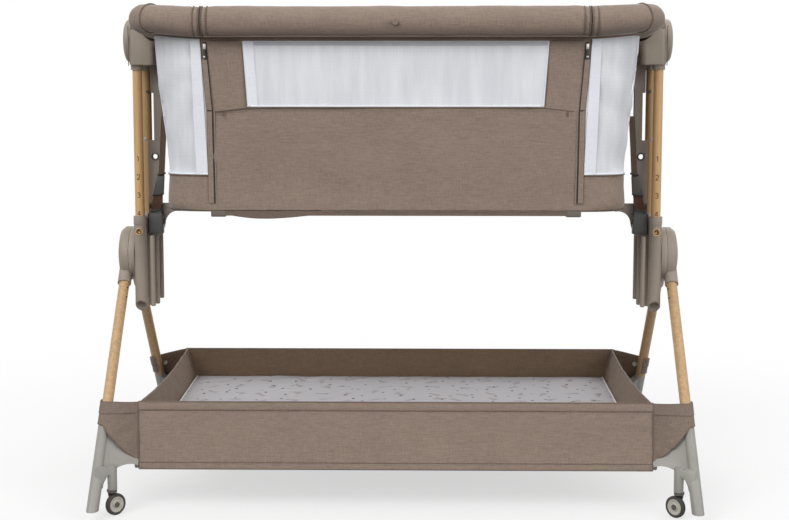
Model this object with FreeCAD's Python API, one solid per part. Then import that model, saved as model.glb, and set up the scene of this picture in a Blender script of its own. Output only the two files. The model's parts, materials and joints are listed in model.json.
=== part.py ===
"""Bedside sleeper crib.

A padded bassinet hangs on two wooden posts at each end. The posts slide in moulded columns, and the
columns stand on two pairs of splayed legs that fold about a hub at each end. The front of the
bassinet drops down once its two zips are open. A fabric storage tray hangs between the feet, and
every foot has a small swivel castor.

Frame: millimetres, +X to the right, -Y towards the parent's bed (the front), +Z up. The origin is on
the floor, under the middle of the crib. Right-hand pieces are built first and mirrored to the left.
"""
import FreeCAD, Part

import math
import os

V = FreeCAD.Vector
FRONT = -1
REAR = 1

# ---- Clearances -------------------------------------------------------------------------------
SLIDE_GAP = 0.3          # between moving pieces and round what slides
PIN_GAP = 0.08           # radial, round pins, stems and axles
SEAT_GAP = 0.05          # radial, where a rod is pressed into its socket
SOFT_GAP = 0.3           # between fabric pieces and what carries them

# ---- Posts and column housings ----------------------------------------------------------------
POST_RADIUS = 8.0
POST_OUTSET = 35.4       # from the rail's axis out to the posts of an end
POST_HALF_PITCH = 42.0   # Y of a post
POST_BELOW_HUB = 18.0
COLUMN_WALL = 2.2
COLUMN_ABOVE_HUB = 68.0
COLUMN_BELOW_HUB = 96.3
COLUMN_MOUTH = 21.0      # how much higher the outer lip of a column's cut bottom is
COLLAR_HEIGHT = 14.0
COLLAR_STEP = 0.6
WEB_THICKNESS = 16.0
WEB_BELOW_HUB = 82.0
WEB_TOP_DROP = 4.0       # from the tubes' upper end down to the web's
GUIDE_DEPTH = 15.0       # how far the inner guide rib stands off the web
GUIDE_WIDTH = 22.0
GUIDE_OFFSET = 15.0      # Y of the guide rib's middle
WINDOW_ABOVE_HUB = 41.8
WINDOW_RADIUS = 4.6
WINDOW_RIM = 1.6
HEIGHT_BUTTON_RADIUS = 5.6
HEIGHT_BUTTON_LENGTH = 6.0
HEIGHT_BUTTON_PROUD = 1.6
HEIGHT_BUTTON_TRAVEL = 2.5
HEIGHT_BUTTON_ABOVE_HUB = 56.5

# ---- Folding hubs and legs --------------------------------------------------------------------
HUB_BELOW_RAIL = 386.0
HUB_RADIUS = 46.0
HUB_REAR_THICKNESS = 10.1
HUB_FRONT_THICKNESS = 19.7
HUB_DOME = 10.0
HUB_FACE_RADIUS = 27.0
HUB_PIN_RADIUS = 8.0
HUB_PIN_ROOT = 10.0      # length of the pin inside the column
SPLAY = 41.5             # degrees from the vertical
LEG_RADIUS = 8.75
LEG_START = 48.0         # distance of a leg's upper end from the hub's axis
FRONT_SLEEVE_END = 64.0
REAR_SLEEVE_END = 78.0
SLEEVE_WALL = 2.6
SCREW_RADIUS = 2.4
FRONT_LEG_INSET = 12.0   # from the hub's outer face to the front legs' axis
FOLD_BUTTON_RADIUS = 13.7
FOLD_BUTTON_THICKNESS = 4.3
FOLD_BUTTON_TRAVEL = 4.0

# ---- Feet and cross bars ----------------------------------------------------------------------
FOOT_CLEARANCE = 17.0    # the foot's end above the floor
FOOT_SLEEVE_LENGTH = 150.0
FOOT_SLEEVE_RADIUS = 9.5
FOOT_LEG_STOP = 40.0     # from the foot's end to the leg's end
WEB_HALF_LENGTH = 50.0
WEB_HALF_THICKNESS = 7.0
WEB_CENTRE = 97.0        # from the foot's end up to the middle of the web
BAR_RADIUS = 9.5
BAR_HEIGHT = 75.0
BAR_BOSS_RADIUS = 12.0
BAR_BOSS_OVERLAP = 9.0   # how far the bar's boss reaches in past the tray's end
BAR_BOSS_LENGTH = 16.0
ARCH_RADIUS = 37.0
ARCH_INSET = 44.5        # from the leg's axis to the arch's middle
ARCH_HEIGHT = 38.0
CASTOR_INSET = 24.5      # from the leg's axis to the swivel axis
CASTOR_FROM_TIP = 34.9   # Y from the leg's lower tip to the swivel axis
CASTOR_BOSS_RADIUS = 7.5
CASTOR_BOSS_BOTTOM = 42.0
CASTOR_BOSS_TOP = 80.0

# ---- Castors ----------------------------------------------------------------------------------
WHEEL_RADIUS = 17.25
TYRE_WIDTH = 9.0
TYRE_DEPTH = 4.6
TYRE_ROUND = 2.2
DISC_WIDTH = 7.6
DISC_DISH = 1.8
AXLE_RADIUS = 2.4
AXLE_CAP_RADIUS = 4.2
AXLE_CAP_THICKNESS = 1.4
TRAIL = 5.0
STEM_RADIUS = 4.0
STEM_LENGTH = 30.0
CROWN_RADIUS = 7.0
CROWN_THICKNESS = 4.6
FORK_THICKNESS = 3.2
FORK_END_RADIUS = 5.2
CASTOR_TURN = 45.0       # how far the castors are swivelled in the photographed pose

# ---- Storage tray -----------------------------------------------------------------------------
TRAY_END_GAP = 29.4      # from the posts' axis in to the tray's end
TRAY_TOP = 171.0
TRAY_BOTTOM = 65.0
TRAY_TOP_FROM_TIP = 81.9     # Y from the leg's lower tip to the panel's upper edge
TRAY_BOTTOM_FROM_TIP = 73.9
CLOTH = 2.4
TRAY_FLOOR = 113.0
TRAY_FLOOR_THICKNESS = 4.0
LINER_THICKNESS = 4.5
LINER_MARGIN = 12.0
TRAY_END_LEAN = 23.0     # how much further in an end panel is at the floor
TRAY_END_INSET = 1.6     # keeps an end panel clear of where the wraps turn in
WRAP_PAST_LEG = 2.75     # how far the wrap round a leg runs past the leg's outer side
GUSSET_TOP_SWEEP = 42.0
GUSSET_FOOT_SWEEP = 9.0
GUSSET_EDGE = 32.0
GUSSET_LOW = 15.0        # from the panel's lower edge up to the wrap's lower corner
WRAP_SPACE = 40.0        # room kept free of the feet in front of the fabric

# ---- Bassinet rails ---------------------------------------------------------------------------
RAIL_HALF_LENGTH = 401.0
RAIL_HALF_WIDTH = 215.0
RAIL_HEIGHT = 768.0
RAIL_RADIUS = 25.4
RAIL_TUBE_RADIUS = 9.0
RAIL_CORNER = 75.0
DROP_END_RUN = 99.0      # from the rail's end in to the drop side's end
STUD_RADIUS = 5.5
STUD_PROUD = 2.0
STUD_DROP = 1.5

# ---- Bassinet tub -----------------------------------------------------------------------------
TUB_DEPTH = 298.0        # from the rail's axis down to the tub's floor
TUB_END_INSET = 11.0     # tub's upper edge inside the rail's axis, at the ends
TUB_SIDE_INSET = 10.0    # and along the sides
TUB_END_TAPER = 20.0     # how much further in the tub's foot is, at the ends
TUB_SIDE_TAPER = 10.0
TUB_FOOT_CORNER = 45.0
TUB_WALL = 3.0
DROP_TOP_INSET = 5.0
DROP_FOOT_INSET = 19.0
DROP_FOOT_RISE = 7.6     # this and the next are heights above the tub's floor
MESH_WINDOW_RISE = 165.6
WINDOW_END_INSET = 62.0
MESH_WINDOW_MARGIN = 6.0
MESH_THICKNESS = 1.2
CORNER_MESH_RISE = 74.0
CORNER_MESH_MARGIN = 8.0
CORNER_MESH_BACK = 75.0
BASE_BOARD_THICKNESS = 3.6
BASE_BOARD_MARGIN = 6.0
MATTRESS_THICKNESS = 36.0
MATTRESS_MARGIN = 4.0
MATTRESS_ROUND = 8.0
MATTRESS_CROWN = 4.0
ZIP_WIDTH = 5.0
ZIP_THICKNESS = 0.9
SLIDER_WIDTH = 5.2
SLIDER_LENGTH = 9.0
SLIDER_THICKNESS = 2.4
PULL_LENGTH = 14.0
PULL_THICKNESS = 1.2

# ---- Ends of the bassinet ---------------------------------------------------------------------
HOUSING_OUTSET = 4.0     # from the rail's axis out to the housing's inner face
HOUSING_HALF_WIDTH = 60.0
HOUSING_BELOW_RAIL = 64.0
HOUSING_TOP_DROP = 6.0
HOUSING_CORNER = 9.0
SOCKET_DROP = 8.7        # how far the post sockets reach below the housing
SOCKET_WALL = 2.5
POST_SEAT = 36.0         # how deep a post sits above the housing's lower face
CHEEK_THICKNESS = 18.4
CHEEK_HALF_HEIGHT = 36.0
CHEEK_STRAIGHT = 20.0
CHEEK_BELOW_RAIL = 24.0
CHEEK_ROUND = 11.0
STRUT_INSET = 1.0        # from the rail's axis in to the strut's inner edge
STRUT_WIDTH = 15.0
STRUT_THICKNESS = 8.0
BRACKET_FRONT = 16.0     # distance of the bracket's front face in front of the middle
BRACKET_THICKNESS = 8.0
BRACKET_RISE = 107.0     # above the tub's floor
BRACKET_DROP = 57.0      # below the tub's floor
BRACKET_OUTSET = 2.0
BRACKET_WIDTH = 22.0
KNEE_REACH = 31.0        # how far the bracket's foot runs in under the tub
KNEE_THICKNESS = 14.0
TETHER_HOLE_RADIUS = 4.5
TETHER_HOLE_INSET = 10.5
TETHER_HOLE_RISE = 79.4
BUCKLE_WIDTH = 27.0
BUCKLE_HEIGHT = 34.0
BUCKLE_DEPTH = 14.0
BUCKLE_DROP = 51.0       # below the tub's floor
BUCKLE_INSET = 10.0
BUCKLE_ROUND = 3.0
PLUG_WIDTH = 22.0
PLUG_HEIGHT = 18.0
PLUG_DEPTH = 9.0
STRAP_WIDTH = 16.0
STRAP_THICKNESS = 2.0
STRAP_RISE = 66.0


# ---- Places worked out from the sizes above ---------------------------------------------------
HUB_HEIGHT = RAIL_HEIGHT - HUB_BELOW_RAIL
POST_HALF_SPAN = RAIL_HALF_LENGTH + POST_OUTSET
POST_BOTTOM = HUB_HEIGHT - POST_BELOW_HUB
COLUMN_TOP = HUB_HEIGHT + COLUMN_ABOVE_HUB
COLUMN_BOTTOM = HUB_HEIGHT - COLUMN_BELOW_HUB
WEB_BOTTOM = HUB_HEIGHT - WEB_BELOW_HUB
WEB_TOP = COLUMN_TOP - WEB_TOP_DROP
WINDOW_HEIGHT = HUB_HEIGHT + WINDOW_ABOVE_HUB
HEIGHT_BUTTON_Z = HUB_HEIGHT + HEIGHT_BUTTON_ABOVE_HUB
COLUMN_RADIUS = POST_RADIUS + SLIDE_GAP + COLUMN_WALL
COLUMN_FACE = POST_HALF_SPAN + COLUMN_RADIUS
HUB_REAR_INNER = COLUMN_FACE + 0.5
HUB_REAR_OUTER = HUB_REAR_INNER + HUB_REAR_THICKNESS
HUB_FRONT_INNER = HUB_REAR_OUTER + 0.5
HUB_FRONT_OUTER = HUB_FRONT_INNER + HUB_FRONT_THICKNESS
FRONT_LEG_X = HUB_FRONT_OUTER - FRONT_LEG_INSET
REAR_LEG_X = HUB_REAR_INNER + LEG_RADIUS
LEG_LENGTH = (HUB_HEIGHT - FOOT_CLEARANCE) / math.cos(math.radians(SPLAY))
LEG_TIP_Y = LEG_LENGTH * math.sin(math.radians(SPLAY))
CASTOR_Y = LEG_TIP_Y - CASTOR_FROM_TIP
TRAY_TOP_Y = LEG_TIP_Y - TRAY_TOP_FROM_TIP
TRAY_BOTTOM_Y = LEG_TIP_Y - TRAY_BOTTOM_FROM_TIP
TRAY_HALF_LENGTH = POST_HALF_SPAN - TRAY_END_GAP
BAR_BOSS_INNER = TRAY_HALF_LENGTH - BAR_BOSS_OVERLAP
DROP_HALF_LENGTH = RAIL_HALF_LENGTH - DROP_END_RUN
DROP_TOP_HALF_LENGTH = DROP_HALF_LENGTH - DROP_TOP_INSET
DROP_FOOT_HALF_LENGTH = DROP_HALF_LENGTH - DROP_FOOT_INSET
WINDOW_HALF_LENGTH = DROP_HALF_LENGTH - WINDOW_END_INSET
TUB_BOTTOM = RAIL_HEIGHT - TUB_DEPTH
DROP_FOOT = TUB_BOTTOM + DROP_FOOT_RISE
MESH_WINDOW_BOTTOM = TUB_BOTTOM + MESH_WINDOW_RISE
CORNER_MESH_BOTTOM = TUB_BOTTOM + CORNER_MESH_RISE
HOUSING_INNER_X = RAIL_HALF_LENGTH + HOUSING_OUTSET
HOUSING_BOTTOM = RAIL_HEIGHT - HOUSING_BELOW_RAIL
HOUSING_TOP = RAIL_HEIGHT - HOUSING_TOP_DROP
CHEEK_HEIGHT = RAIL_HEIGHT - CHEEK_BELOW_RAIL
STRUT_INNER_X = RAIL_HALF_LENGTH - STRUT_INSET
BRACKET_INNER_X = RAIL_HALF_LENGTH + BRACKET_OUTSET
BRACKET_TOP = TUB_BOTTOM + BRACKET_RISE
BRACKET_BOTTOM = TUB_BOTTOM - BRACKET_DROP
TETHER_HOLE_X = BRACKET_INNER_X + TETHER_HOLE_INSET
TETHER_HOLE_Z = TUB_BOTTOM + TETHER_HOLE_RISE
BUCKLE_CENTRE_X = BRACKET_INNER_X + BUCKLE_INSET
BUCKLE_BOTTOM = TUB_BOTTOM - BUCKLE_DROP
STRAP_TOP = TUB_BOTTOM + STRAP_RISE
TUB_TOP_HALF_LENGTH = RAIL_HALF_LENGTH - TUB_END_INSET
TUB_TOP_HALF_WIDTH = RAIL_HALF_WIDTH - TUB_SIDE_INSET
TUB_TOP_CORNER = RAIL_CORNER - TUB_END_INSET
TUB_FOOT_HALF_LENGTH = TUB_TOP_HALF_LENGTH - TUB_END_TAPER
TUB_FOOT_HALF_WIDTH = TUB_TOP_HALF_WIDTH - TUB_SIDE_TAPER
TUB_TOP = RAIL_HEIGHT - math.sqrt((RAIL_RADIUS + SOFT_GAP) ** 2 - TUB_SIDE_INSET ** 2)


def tub_half_length(z):
    """Half the tub's outer length at a height."""
    share = (z - TUB_BOTTOM) / (TUB_TOP - TUB_BOTTOM)
    return TUB_FOOT_HALF_LENGTH + share * (TUB_TOP_HALF_LENGTH - TUB_FOOT_HALF_LENGTH)


def tub_half_width(z):
    """Half the tub's outer width at a height."""
    share = (z - TUB_BOTTOM) / (TUB_TOP - TUB_BOTTOM)
    return TUB_FOOT_HALF_WIDTH + share * (TUB_TOP_HALF_WIDTH - TUB_FOOT_HALF_WIDTH)


def tub_corner(z):
    """Corner radius of the tub at a height."""
    share = (z - TUB_BOTTOM) / (TUB_TOP - TUB_BOTTOM)
    return TUB_FOOT_CORNER + share * (TUB_TOP_CORNER - TUB_FOOT_CORNER)


def drop_half_length(z):
    """Half the width of the drop-down front at a height."""
    share = (z - DROP_FOOT) / (TUB_TOP - DROP_FOOT)
    return DROP_FOOT_HALF_LENGTH + share * (DROP_TOP_HALF_LENGTH - DROP_FOOT_HALF_LENGTH)


def tray_y(z):
    """Distance of the tray's front or back panel's outer face from the middle at a height."""
    share = (TRAY_TOP - z) / (TRAY_TOP - TRAY_BOTTOM)
    return TRAY_TOP_Y + share * (TRAY_BOTTOM_Y - TRAY_TOP_Y)


def along_leg(distance, x, side):
    """Point on a leg's axis at a distance from the hub, on the front or rear side."""
    angle = math.radians(SPLAY)
    return V(x, side * distance * math.sin(angle), HUB_HEIGHT - distance * math.cos(angle))


BAR_Y = tray_y(BAR_HEIGHT) - CLOTH - SOFT_GAP - BAR_RADIUS


# ---- Shape helpers ----------------------------------------------------------------------------
def rod(radius, start, end):
    """Cylinder between two points."""
    axis = end.sub(start)
    return Part.makeCylinder(radius, axis.Length, start, axis)


def block(x0, x1, y0, y1, z0, z1):
    """Box between two corners."""
    return Part.makeBox(x1 - x0, y1 - y0, z1 - z0, V(x0, y0, z0))


def prism(points, travel):
    """Polygon extruded along a vector."""
    return Part.Face(Part.makePolygon(points + [points[0]])).extrude(travel)


def fused(first, *others):
    """One solid from overlapping ones."""
    return first.fuse(list(others)).removeSplitter()


def mirror_x(shape):
    """The same piece on the other end of the crib."""
    return shape.mirror(V(0, 0, 0), V(1, 0, 0))


def mirror_y(shape):
    """The same piece on the other long side of the crib."""
    return shape.mirror(V(0, 0, 0), V(0, 1, 0))


def on_side(shape, side):
    """A piece built for the front, moved to the side asked for."""
    return shape if side == FRONT else mirror_y(shape)


def rounded_outline(half_x, half_y, corner, z):
    """Rounded rectangle as a wire at a height."""
    outline = []
    inner_x = half_x - corner
    inner_y = half_y - corner
    diagonal = corner * math.sqrt(0.5)
    for turn in range(4):
        sign_x = (1, -1, -1, 1)[turn]
        sign_y = (1, 1, -1, -1)[turn]
        arc_start = V(inner_x + corner, inner_y, 0)
        arc_middle = V(inner_x + diagonal, inner_y + diagonal, 0)
        arc_end = V(inner_x, inner_y + corner, 0)
        points = [V(p.x * sign_x, p.y * sign_y, z) for p in (arc_start, arc_middle, arc_end)]
        if turn % 2:
            points.reverse()
        outline.append(points)
    edges = []
    for index, points in enumerate(outline):
        edges.append(Part.Arc(*points).toShape())
        following = outline[(index + 1) % 4]
        edges.append(Part.makeLine(points[2], following[0]))
    return Part.Wire(edges)


def tub_body(inset, bottom, top):
    """Solid of the tub's outline, drawn in by an inset, between two heights."""
    wires = []
    for z in (bottom, top):
        corner = max(tub_corner(z) - inset, 1.0)
        wires.append(rounded_outline(tub_half_length(z) - inset, tub_half_width(z) - inset, corner, z))
    return Part.makeLoft(wires, True, True)


def turned(points, centre, axis):
    """Solid of revolution from (radius, distance along the axis) points."""
    across = V(0, 0, 1) if abs(axis.z) < 0.5 else V(1, 0, 0)
    corners = [centre + across * r + axis * d for r, d in points]
    face = Part.Face(Part.makePolygon(corners + [corners[0]]))
    return face.revolve(centre, axis, 360)


def write(node, *solids):
    """Writes one node. Several solids stay separate inside it."""
    shape = solids[0] if len(solids) == 1 else Part.makeCompound(list(solids))
    shape.exportStep(f"parts/{node}.step")


def write_pair(stem, shape):
    """Writes a right-hand piece and its mirrored left-hand twin as two nodes."""
    write(f"{stem}_right", shape)
    write(f"{stem}_left", mirror_x(shape))


def write_both(node, shape):
    """Writes a right-hand piece and its mirrored twin as one node."""
    write(node, shape, mirror_x(shape))


# ---- Columns ----------------------------------------------------------------------------------
def column_mouth(side):
    """Wedge that cuts a column tube's lower end on a slant, so that its outer lip is higher."""
    reach = COLUMN_RADIUS + 1.0
    slope = COLUMN_MOUTH / (2 * COLUMN_RADIUS)
    middle = side * POST_HALF_PITCH
    inner = middle - side * reach
    outer = middle + side * reach
    low = COLUMN_BOTTOM - slope * 1.0
    high = COLUMN_BOTTOM + slope * (2 * COLUMN_RADIUS + 1.0)
    x0 = POST_HALF_SPAN - reach
    points = [V(x0, inner, low), V(x0, outer, high), V(x0, outer, low)]
    return prism(points, V(2 * reach, 0, 0))


def column_housing():
    """Moulded column: two tubes with slanted open ends, a web, an inner guide rib and a window."""
    pieces = []
    for side in (FRONT, REAR):
        foot = V(POST_HALF_SPAN, side * POST_HALF_PITCH, COLUMN_BOTTOM)
        tube = Part.makeCylinder(COLUMN_RADIUS, COLUMN_TOP - COLUMN_BOTTOM, foot)
        tube = tube.cut(column_mouth(side))
        collar_foot = V(foot.x, foot.y, COLUMN_TOP - COLLAR_HEIGHT)
        pieces.append(tube)
        pieces.append(Part.makeCylinder(COLUMN_RADIUS + COLLAR_STEP, COLLAR_HEIGHT, collar_foot))
    web_inner = COLUMN_FACE - WEB_THICKNESS
    web = block(web_inner, COLUMN_FACE, -POST_HALF_PITCH, POST_HALF_PITCH, WEB_BOTTOM, WEB_TOP)
    rib_y0 = GUIDE_OFFSET - GUIDE_WIDTH / 2
    rib = block(web_inner - GUIDE_DEPTH, web_inner + 2, rib_y0, rib_y0 + GUIDE_WIDTH, WEB_BOTTOM, WEB_TOP)
    rounded = [e for e in rib.Edges if abs(e.tangentAt(e.FirstParameter).z) > 0.9 and e.CenterOfMass.x < web_inner]
    rib = rib.makeFillet(GUIDE_WIDTH / 5, rounded)
    groove_y = GUIDE_OFFSET
    groove = rod(GUIDE_WIDTH / 9, V(web_inner - GUIDE_DEPTH, groove_y, WEB_BOTTOM - 1),
                 V(web_inner - GUIDE_DEPTH, groove_y, WEB_TOP + 1))
    rib = rib.cut(groove)
    window_front = V(POST_HALF_SPAN, -POST_HALF_PITCH - COLUMN_RADIUS - WINDOW_RIM / 2, WINDOW_HEIGHT)
    window_back = V(POST_HALF_SPAN, -POST_HALF_PITCH - COLUMN_RADIUS / 2, WINDOW_HEIGHT)
    pieces.append(rod(WINDOW_RADIUS + WINDOW_RIM, window_front, window_back))
    housing = fused(web, rib, *pieces)
    cuts = [rod(WINDOW_RADIUS, window_front - V(0, 1, 0), window_back)]
    for side in (FRONT, REAR):
        base = V(POST_HALF_SPAN, side * POST_HALF_PITCH, COLUMN_BOTTOM - 1)
        cuts.append(Part.makeCylinder(POST_RADIUS + SLIDE_GAP, COLUMN_TOP - COLUMN_BOTTOM + 2, base))
    cuts.append(rod(HUB_PIN_RADIUS + SEAT_GAP, V(COLUMN_FACE - HUB_PIN_ROOT, 0, HUB_HEIGHT),
                    V(COLUMN_FACE + 1, 0, HUB_HEIGHT)))
    pocket = HEIGHT_BUTTON_LENGTH - HEIGHT_BUTTON_PROUD + HEIGHT_BUTTON_TRAVEL + SLIDE_GAP
    cuts.append(rod(HEIGHT_BUTTON_RADIUS + SLIDE_GAP, V(COLUMN_FACE - pocket, 0, HEIGHT_BUTTON_Z),
                    V(COLUMN_FACE + 1, 0, HEIGHT_BUTTON_Z)))
    return housing.cut(cuts)


def hub_pin():
    """Pin that carries both legs of an end."""
    end = HUB_FRONT_OUTER - FOLD_BUTTON_THICKNESS - FOLD_BUTTON_TRAVEL - 2 * SLIDE_GAP
    return rod(HUB_PIN_RADIUS, V(COLUMN_FACE - HUB_PIN_ROOT, 0, HUB_HEIGHT), V(end, 0, HUB_HEIGHT))


def height_button():
    """Push button that frees the posts."""
    end = COLUMN_FACE + HEIGHT_BUTTON_PROUD
    button = rod(HEIGHT_BUTTON_RADIUS, V(end - HEIGHT_BUTTON_LENGTH, 0, HEIGHT_BUTTON_Z),
                 V(end, 0, HEIGHT_BUTTON_Z))
    rim = [e for e in button.Edges if abs(e.CenterOfMass.x - end) < 0.01]
    return button.makeFillet(HEIGHT_BUTTON_PROUD / 2, rim)


# ---- Hubs, legs, bars and feet ----------------------------------------------------------------
def leg_x(side):
    """X of the right-hand leg's axis."""
    return FRONT_LEG_X if side == FRONT else REAR_LEG_X


def front_hub():
    """Outer hub layer: domed disc with the front leg's socket and the fold button's recess."""
    dome_inner = HUB_FRONT_OUTER - HUB_DOME
    axis = V(1, 0, 0)
    centre = V(0, 0, HUB_HEIGHT)
    shoulder = HUB_RADIUS - (HUB_RADIUS - HUB_FACE_RADIUS) * 0.30
    profile = [(0, HUB_FRONT_INNER), (HUB_RADIUS, HUB_FRONT_INNER), (HUB_RADIUS, dome_inner),
               (shoulder, HUB_FRONT_OUTER - HUB_DOME * 0.30), (HUB_FACE_RADIUS, HUB_FRONT_OUTER),
               (0, HUB_FRONT_OUTER)]
    disc = turned(profile, centre, axis)
    sleeve_radius = LEG_RADIUS + SLEEVE_WALL
    sleeve = rod(sleeve_radius, along_leg(HUB_RADIUS * 0.5, FRONT_LEG_X, FRONT),
                 along_leg(FRONT_SLEEVE_END, FRONT_LEG_X, FRONT))
    behind = rod(HUB_RADIUS + 0.5, V(HUB_FRONT_INNER - 20, 0, HUB_HEIGHT), V(HUB_FRONT_INNER, 0, HUB_HEIGHT))
    hub = fused(disc, sleeve.cut(behind))
    recess_floor = HUB_FRONT_OUTER - FOLD_BUTTON_THICKNESS - FOLD_BUTTON_TRAVEL - SLIDE_GAP
    cuts = [rod(LEG_RADIUS + SEAT_GAP, along_leg(LEG_START, FRONT_LEG_X, FRONT),
                along_leg(FRONT_SLEEVE_END + 5, FRONT_LEG_X, FRONT)),
            rod(HUB_PIN_RADIUS + PIN_GAP, V(HUB_FRONT_INNER - 1, 0, HUB_HEIGHT),
                V(recess_floor + 1, 0, HUB_HEIGHT)),
            rod(FOLD_BUTTON_RADIUS + SLIDE_GAP, V(recess_floor, 0, HUB_HEIGHT),
                V(HUB_FRONT_OUTER + 1, 0, HUB_HEIGHT))]
    return hub.cut(cuts)


def rear_hub():
    """Inner hub layer: flat disc with the rear leg's longer socket."""
    disc = rod(HUB_RADIUS, V(HUB_REAR_INNER, 0, HUB_HEIGHT), V(HUB_REAR_OUTER, 0, HUB_HEIGHT))
    sleeve_radius = LEG_RADIUS + SLEEVE_WALL
    sleeve = rod(sleeve_radius, along_leg(HUB_RADIUS * 0.5, REAR_LEG_X, REAR),
                 along_leg(REAR_SLEEVE_END, REAR_LEG_X, REAR))
    over = rod(HUB_RADIUS + 0.5, V(HUB_REAR_OUTER, 0, HUB_HEIGHT), V(HUB_REAR_OUTER + 30, 0, HUB_HEIGHT))
    reach = REAR_SLEEVE_END + 2 * HUB_RADIUS
    column_side = block(HUB_REAR_INNER - 2 * LEG_RADIUS, HUB_REAR_INNER, -reach, reach, HUB_HEIGHT - reach,
                        HUB_HEIGHT + reach)
    hub = fused(disc, sleeve.cut([over, column_side]))
    cuts = [rod(LEG_RADIUS + SEAT_GAP, along_leg(LEG_START, REAR_LEG_X, REAR),
                along_leg(REAR_SLEEVE_END + 5, REAR_LEG_X, REAR)),
            rod(HUB_PIN_RADIUS + PIN_GAP, V(HUB_REAR_INNER - 1, 0, HUB_HEIGHT),
                V(HUB_REAR_OUTER + 1, 0, HUB_HEIGHT))]
    return hub.cut(cuts)


def fold_button():
    """Push button in the hub's outer face that frees the legs."""
    outer = V(HUB_FRONT_OUTER, 0, HUB_HEIGHT)
    button = rod(FOLD_BUTTON_RADIUS, outer - V(FOLD_BUTTON_THICKNESS, 0, 0), outer)
    rim = [e for e in button.Edges if abs(e.CenterOfMass.x - HUB_FRONT_OUTER) < 0.01]
    return button.makeFillet(1.0, rim)


def leg(side):
    """Wooden leg rod with the two screw seats below the hub."""
    x = leg_x(side)
    stick = rod(LEG_RADIUS, along_leg(LEG_START, x, side), along_leg(LEG_LENGTH - FOOT_LEG_STOP, x, side))
    seats = []
    for distance in (REAR_SLEEVE_END - 4, REAR_SLEEVE_END + 16):
        place = along_leg(distance, x - LEG_RADIUS, side)
        if side == FRONT:
            seats.append(rod(SCREW_RADIUS, place - V(1, 0, 0), place + V(2, 0, 0)))
    return stick.cut(seats) if seats else stick


def web_section(x, middle_y, middle_z, half_length, half_thickness):
    """Wire of the foot's web across X, in line with the front leg."""
    angle = math.radians(SPLAY)
    down = V(0, -math.sin(angle), -math.cos(angle))
    out = V(0, -math.cos(angle), math.sin(angle))
    middle = V(x, middle_y, middle_z)
    corners = [middle + down * half_length + out * half_thickness,
               middle + down * half_length - out * half_thickness,
               middle - down * half_length - out * half_thickness,
               middle - down * half_length + out * half_thickness]
    return Part.makePolygon(corners + [corners[0]])


def foot(side):
    """Moulded foot: leg sleeve, arched web, cross bar boss and castor boss."""
    x = leg_x(side)
    top = along_leg(LEG_LENGTH - FOOT_SLEEVE_LENGTH, x, FRONT)
    sleeve = rod(FOOT_SLEEVE_RADIUS, top, along_leg(LEG_LENGTH + 2 * FOOT_SLEEVE_RADIUS, x, FRONT))
    web_middle = along_leg(LEG_LENGTH - WEB_CENTRE, x, FRONT)
    near = web_section(x, web_middle.y, web_middle.z, WEB_HALF_LENGTH, WEB_HALF_THICKNESS)
    far = web_section(BAR_BOSS_INNER + 1, -BAR_Y, BAR_HEIGHT, BAR_BOSS_RADIUS * 0.95, BAR_BOSS_RADIUS * 0.8)
    web = Part.makeLoft([near, far], True, True)
    castor_x = x - CASTOR_INSET
    rib = block(castor_x, x, -CASTOR_Y - CASTOR_BOSS_RADIUS, -CASTOR_Y + CASTOR_BOSS_RADIUS,
                CASTOR_BOSS_BOTTOM, CASTOR_BOSS_TOP - 3)
    arch_x = x - ARCH_INSET
    reach = 2 * ARCH_RADIUS
    arch = rod(ARCH_RADIUS, V(arch_x, -CASTOR_Y - reach, ARCH_HEIGHT), V(arch_x, -BAR_Y + reach, ARCH_HEIGHT))
    body = web.fuse(rib).cut(arch)
    boss = rod(BAR_BOSS_RADIUS, V(BAR_BOSS_INNER, -BAR_Y, BAR_HEIGHT),
               V(BAR_BOSS_INNER + BAR_BOSS_LENGTH, -BAR_Y, BAR_HEIGHT))
    castor_boss = rod(CASTOR_BOSS_RADIUS, V(castor_x, -CASTOR_Y, CASTOR_BOSS_BOTTOM),
                      V(castor_x, -CASTOR_Y, CASTOR_BOSS_TOP))
    body = fused(sleeve, body, boss, castor_boss)
    cuts = [block(x - reach, x + reach, -CASTOR_Y - reach, -CASTOR_Y + reach, FOOT_CLEARANCE - reach, FOOT_CLEARANCE),
            rod(LEG_RADIUS + SEAT_GAP, top - (along_leg(5, x, FRONT) - along_leg(0, x, FRONT)),
                along_leg(LEG_LENGTH - FOOT_LEG_STOP, x, FRONT)),
            rod(BAR_RADIUS + SEAT_GAP, V(BAR_BOSS_INNER - 1, -BAR_Y, BAR_HEIGHT),
                V(BAR_BOSS_INNER + BAR_BOSS_LENGTH - 3, -BAR_Y, BAR_HEIGHT)),
            rod(STEM_RADIUS + PIN_GAP, V(castor_x, -CASTOR_Y, CASTOR_BOSS_BOTTOM - 1),
                V(castor_x, -CASTOR_Y, CASTOR_BOSS_BOTTOM + STEM_LENGTH)),
            leg_wrap(side, -WRAP_SPACE, CLOTH + SOFT_GAP), panel_body(-WRAP_SPACE, CLOTH + SOFT_GAP)]
    return on_side(body.cut(cuts), side)


def cross_bar(side):
    """Round bar between the feet of one side."""
    end = BAR_BOSS_INNER + BAR_BOSS_LENGTH - 3
    y = side * BAR_Y
    return rod(BAR_RADIUS, V(-end, y, BAR_HEIGHT), V(end, y, BAR_HEIGHT))


# ---- Castors ----------------------------------------------------------------------------------
def castor_place(shape, side):
    """Moves a castor piece from its own frame, with the axle along X, to its foot, swivelled."""
    x = leg_x(side) - CASTOR_INSET
    placed = shape.copy()
    placed.rotate(V(0, 0, 0), V(0, 0, 1), CASTOR_TURN)
    placed.translate(V(x, -CASTOR_Y, 0))
    return on_side(placed, side)


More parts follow.
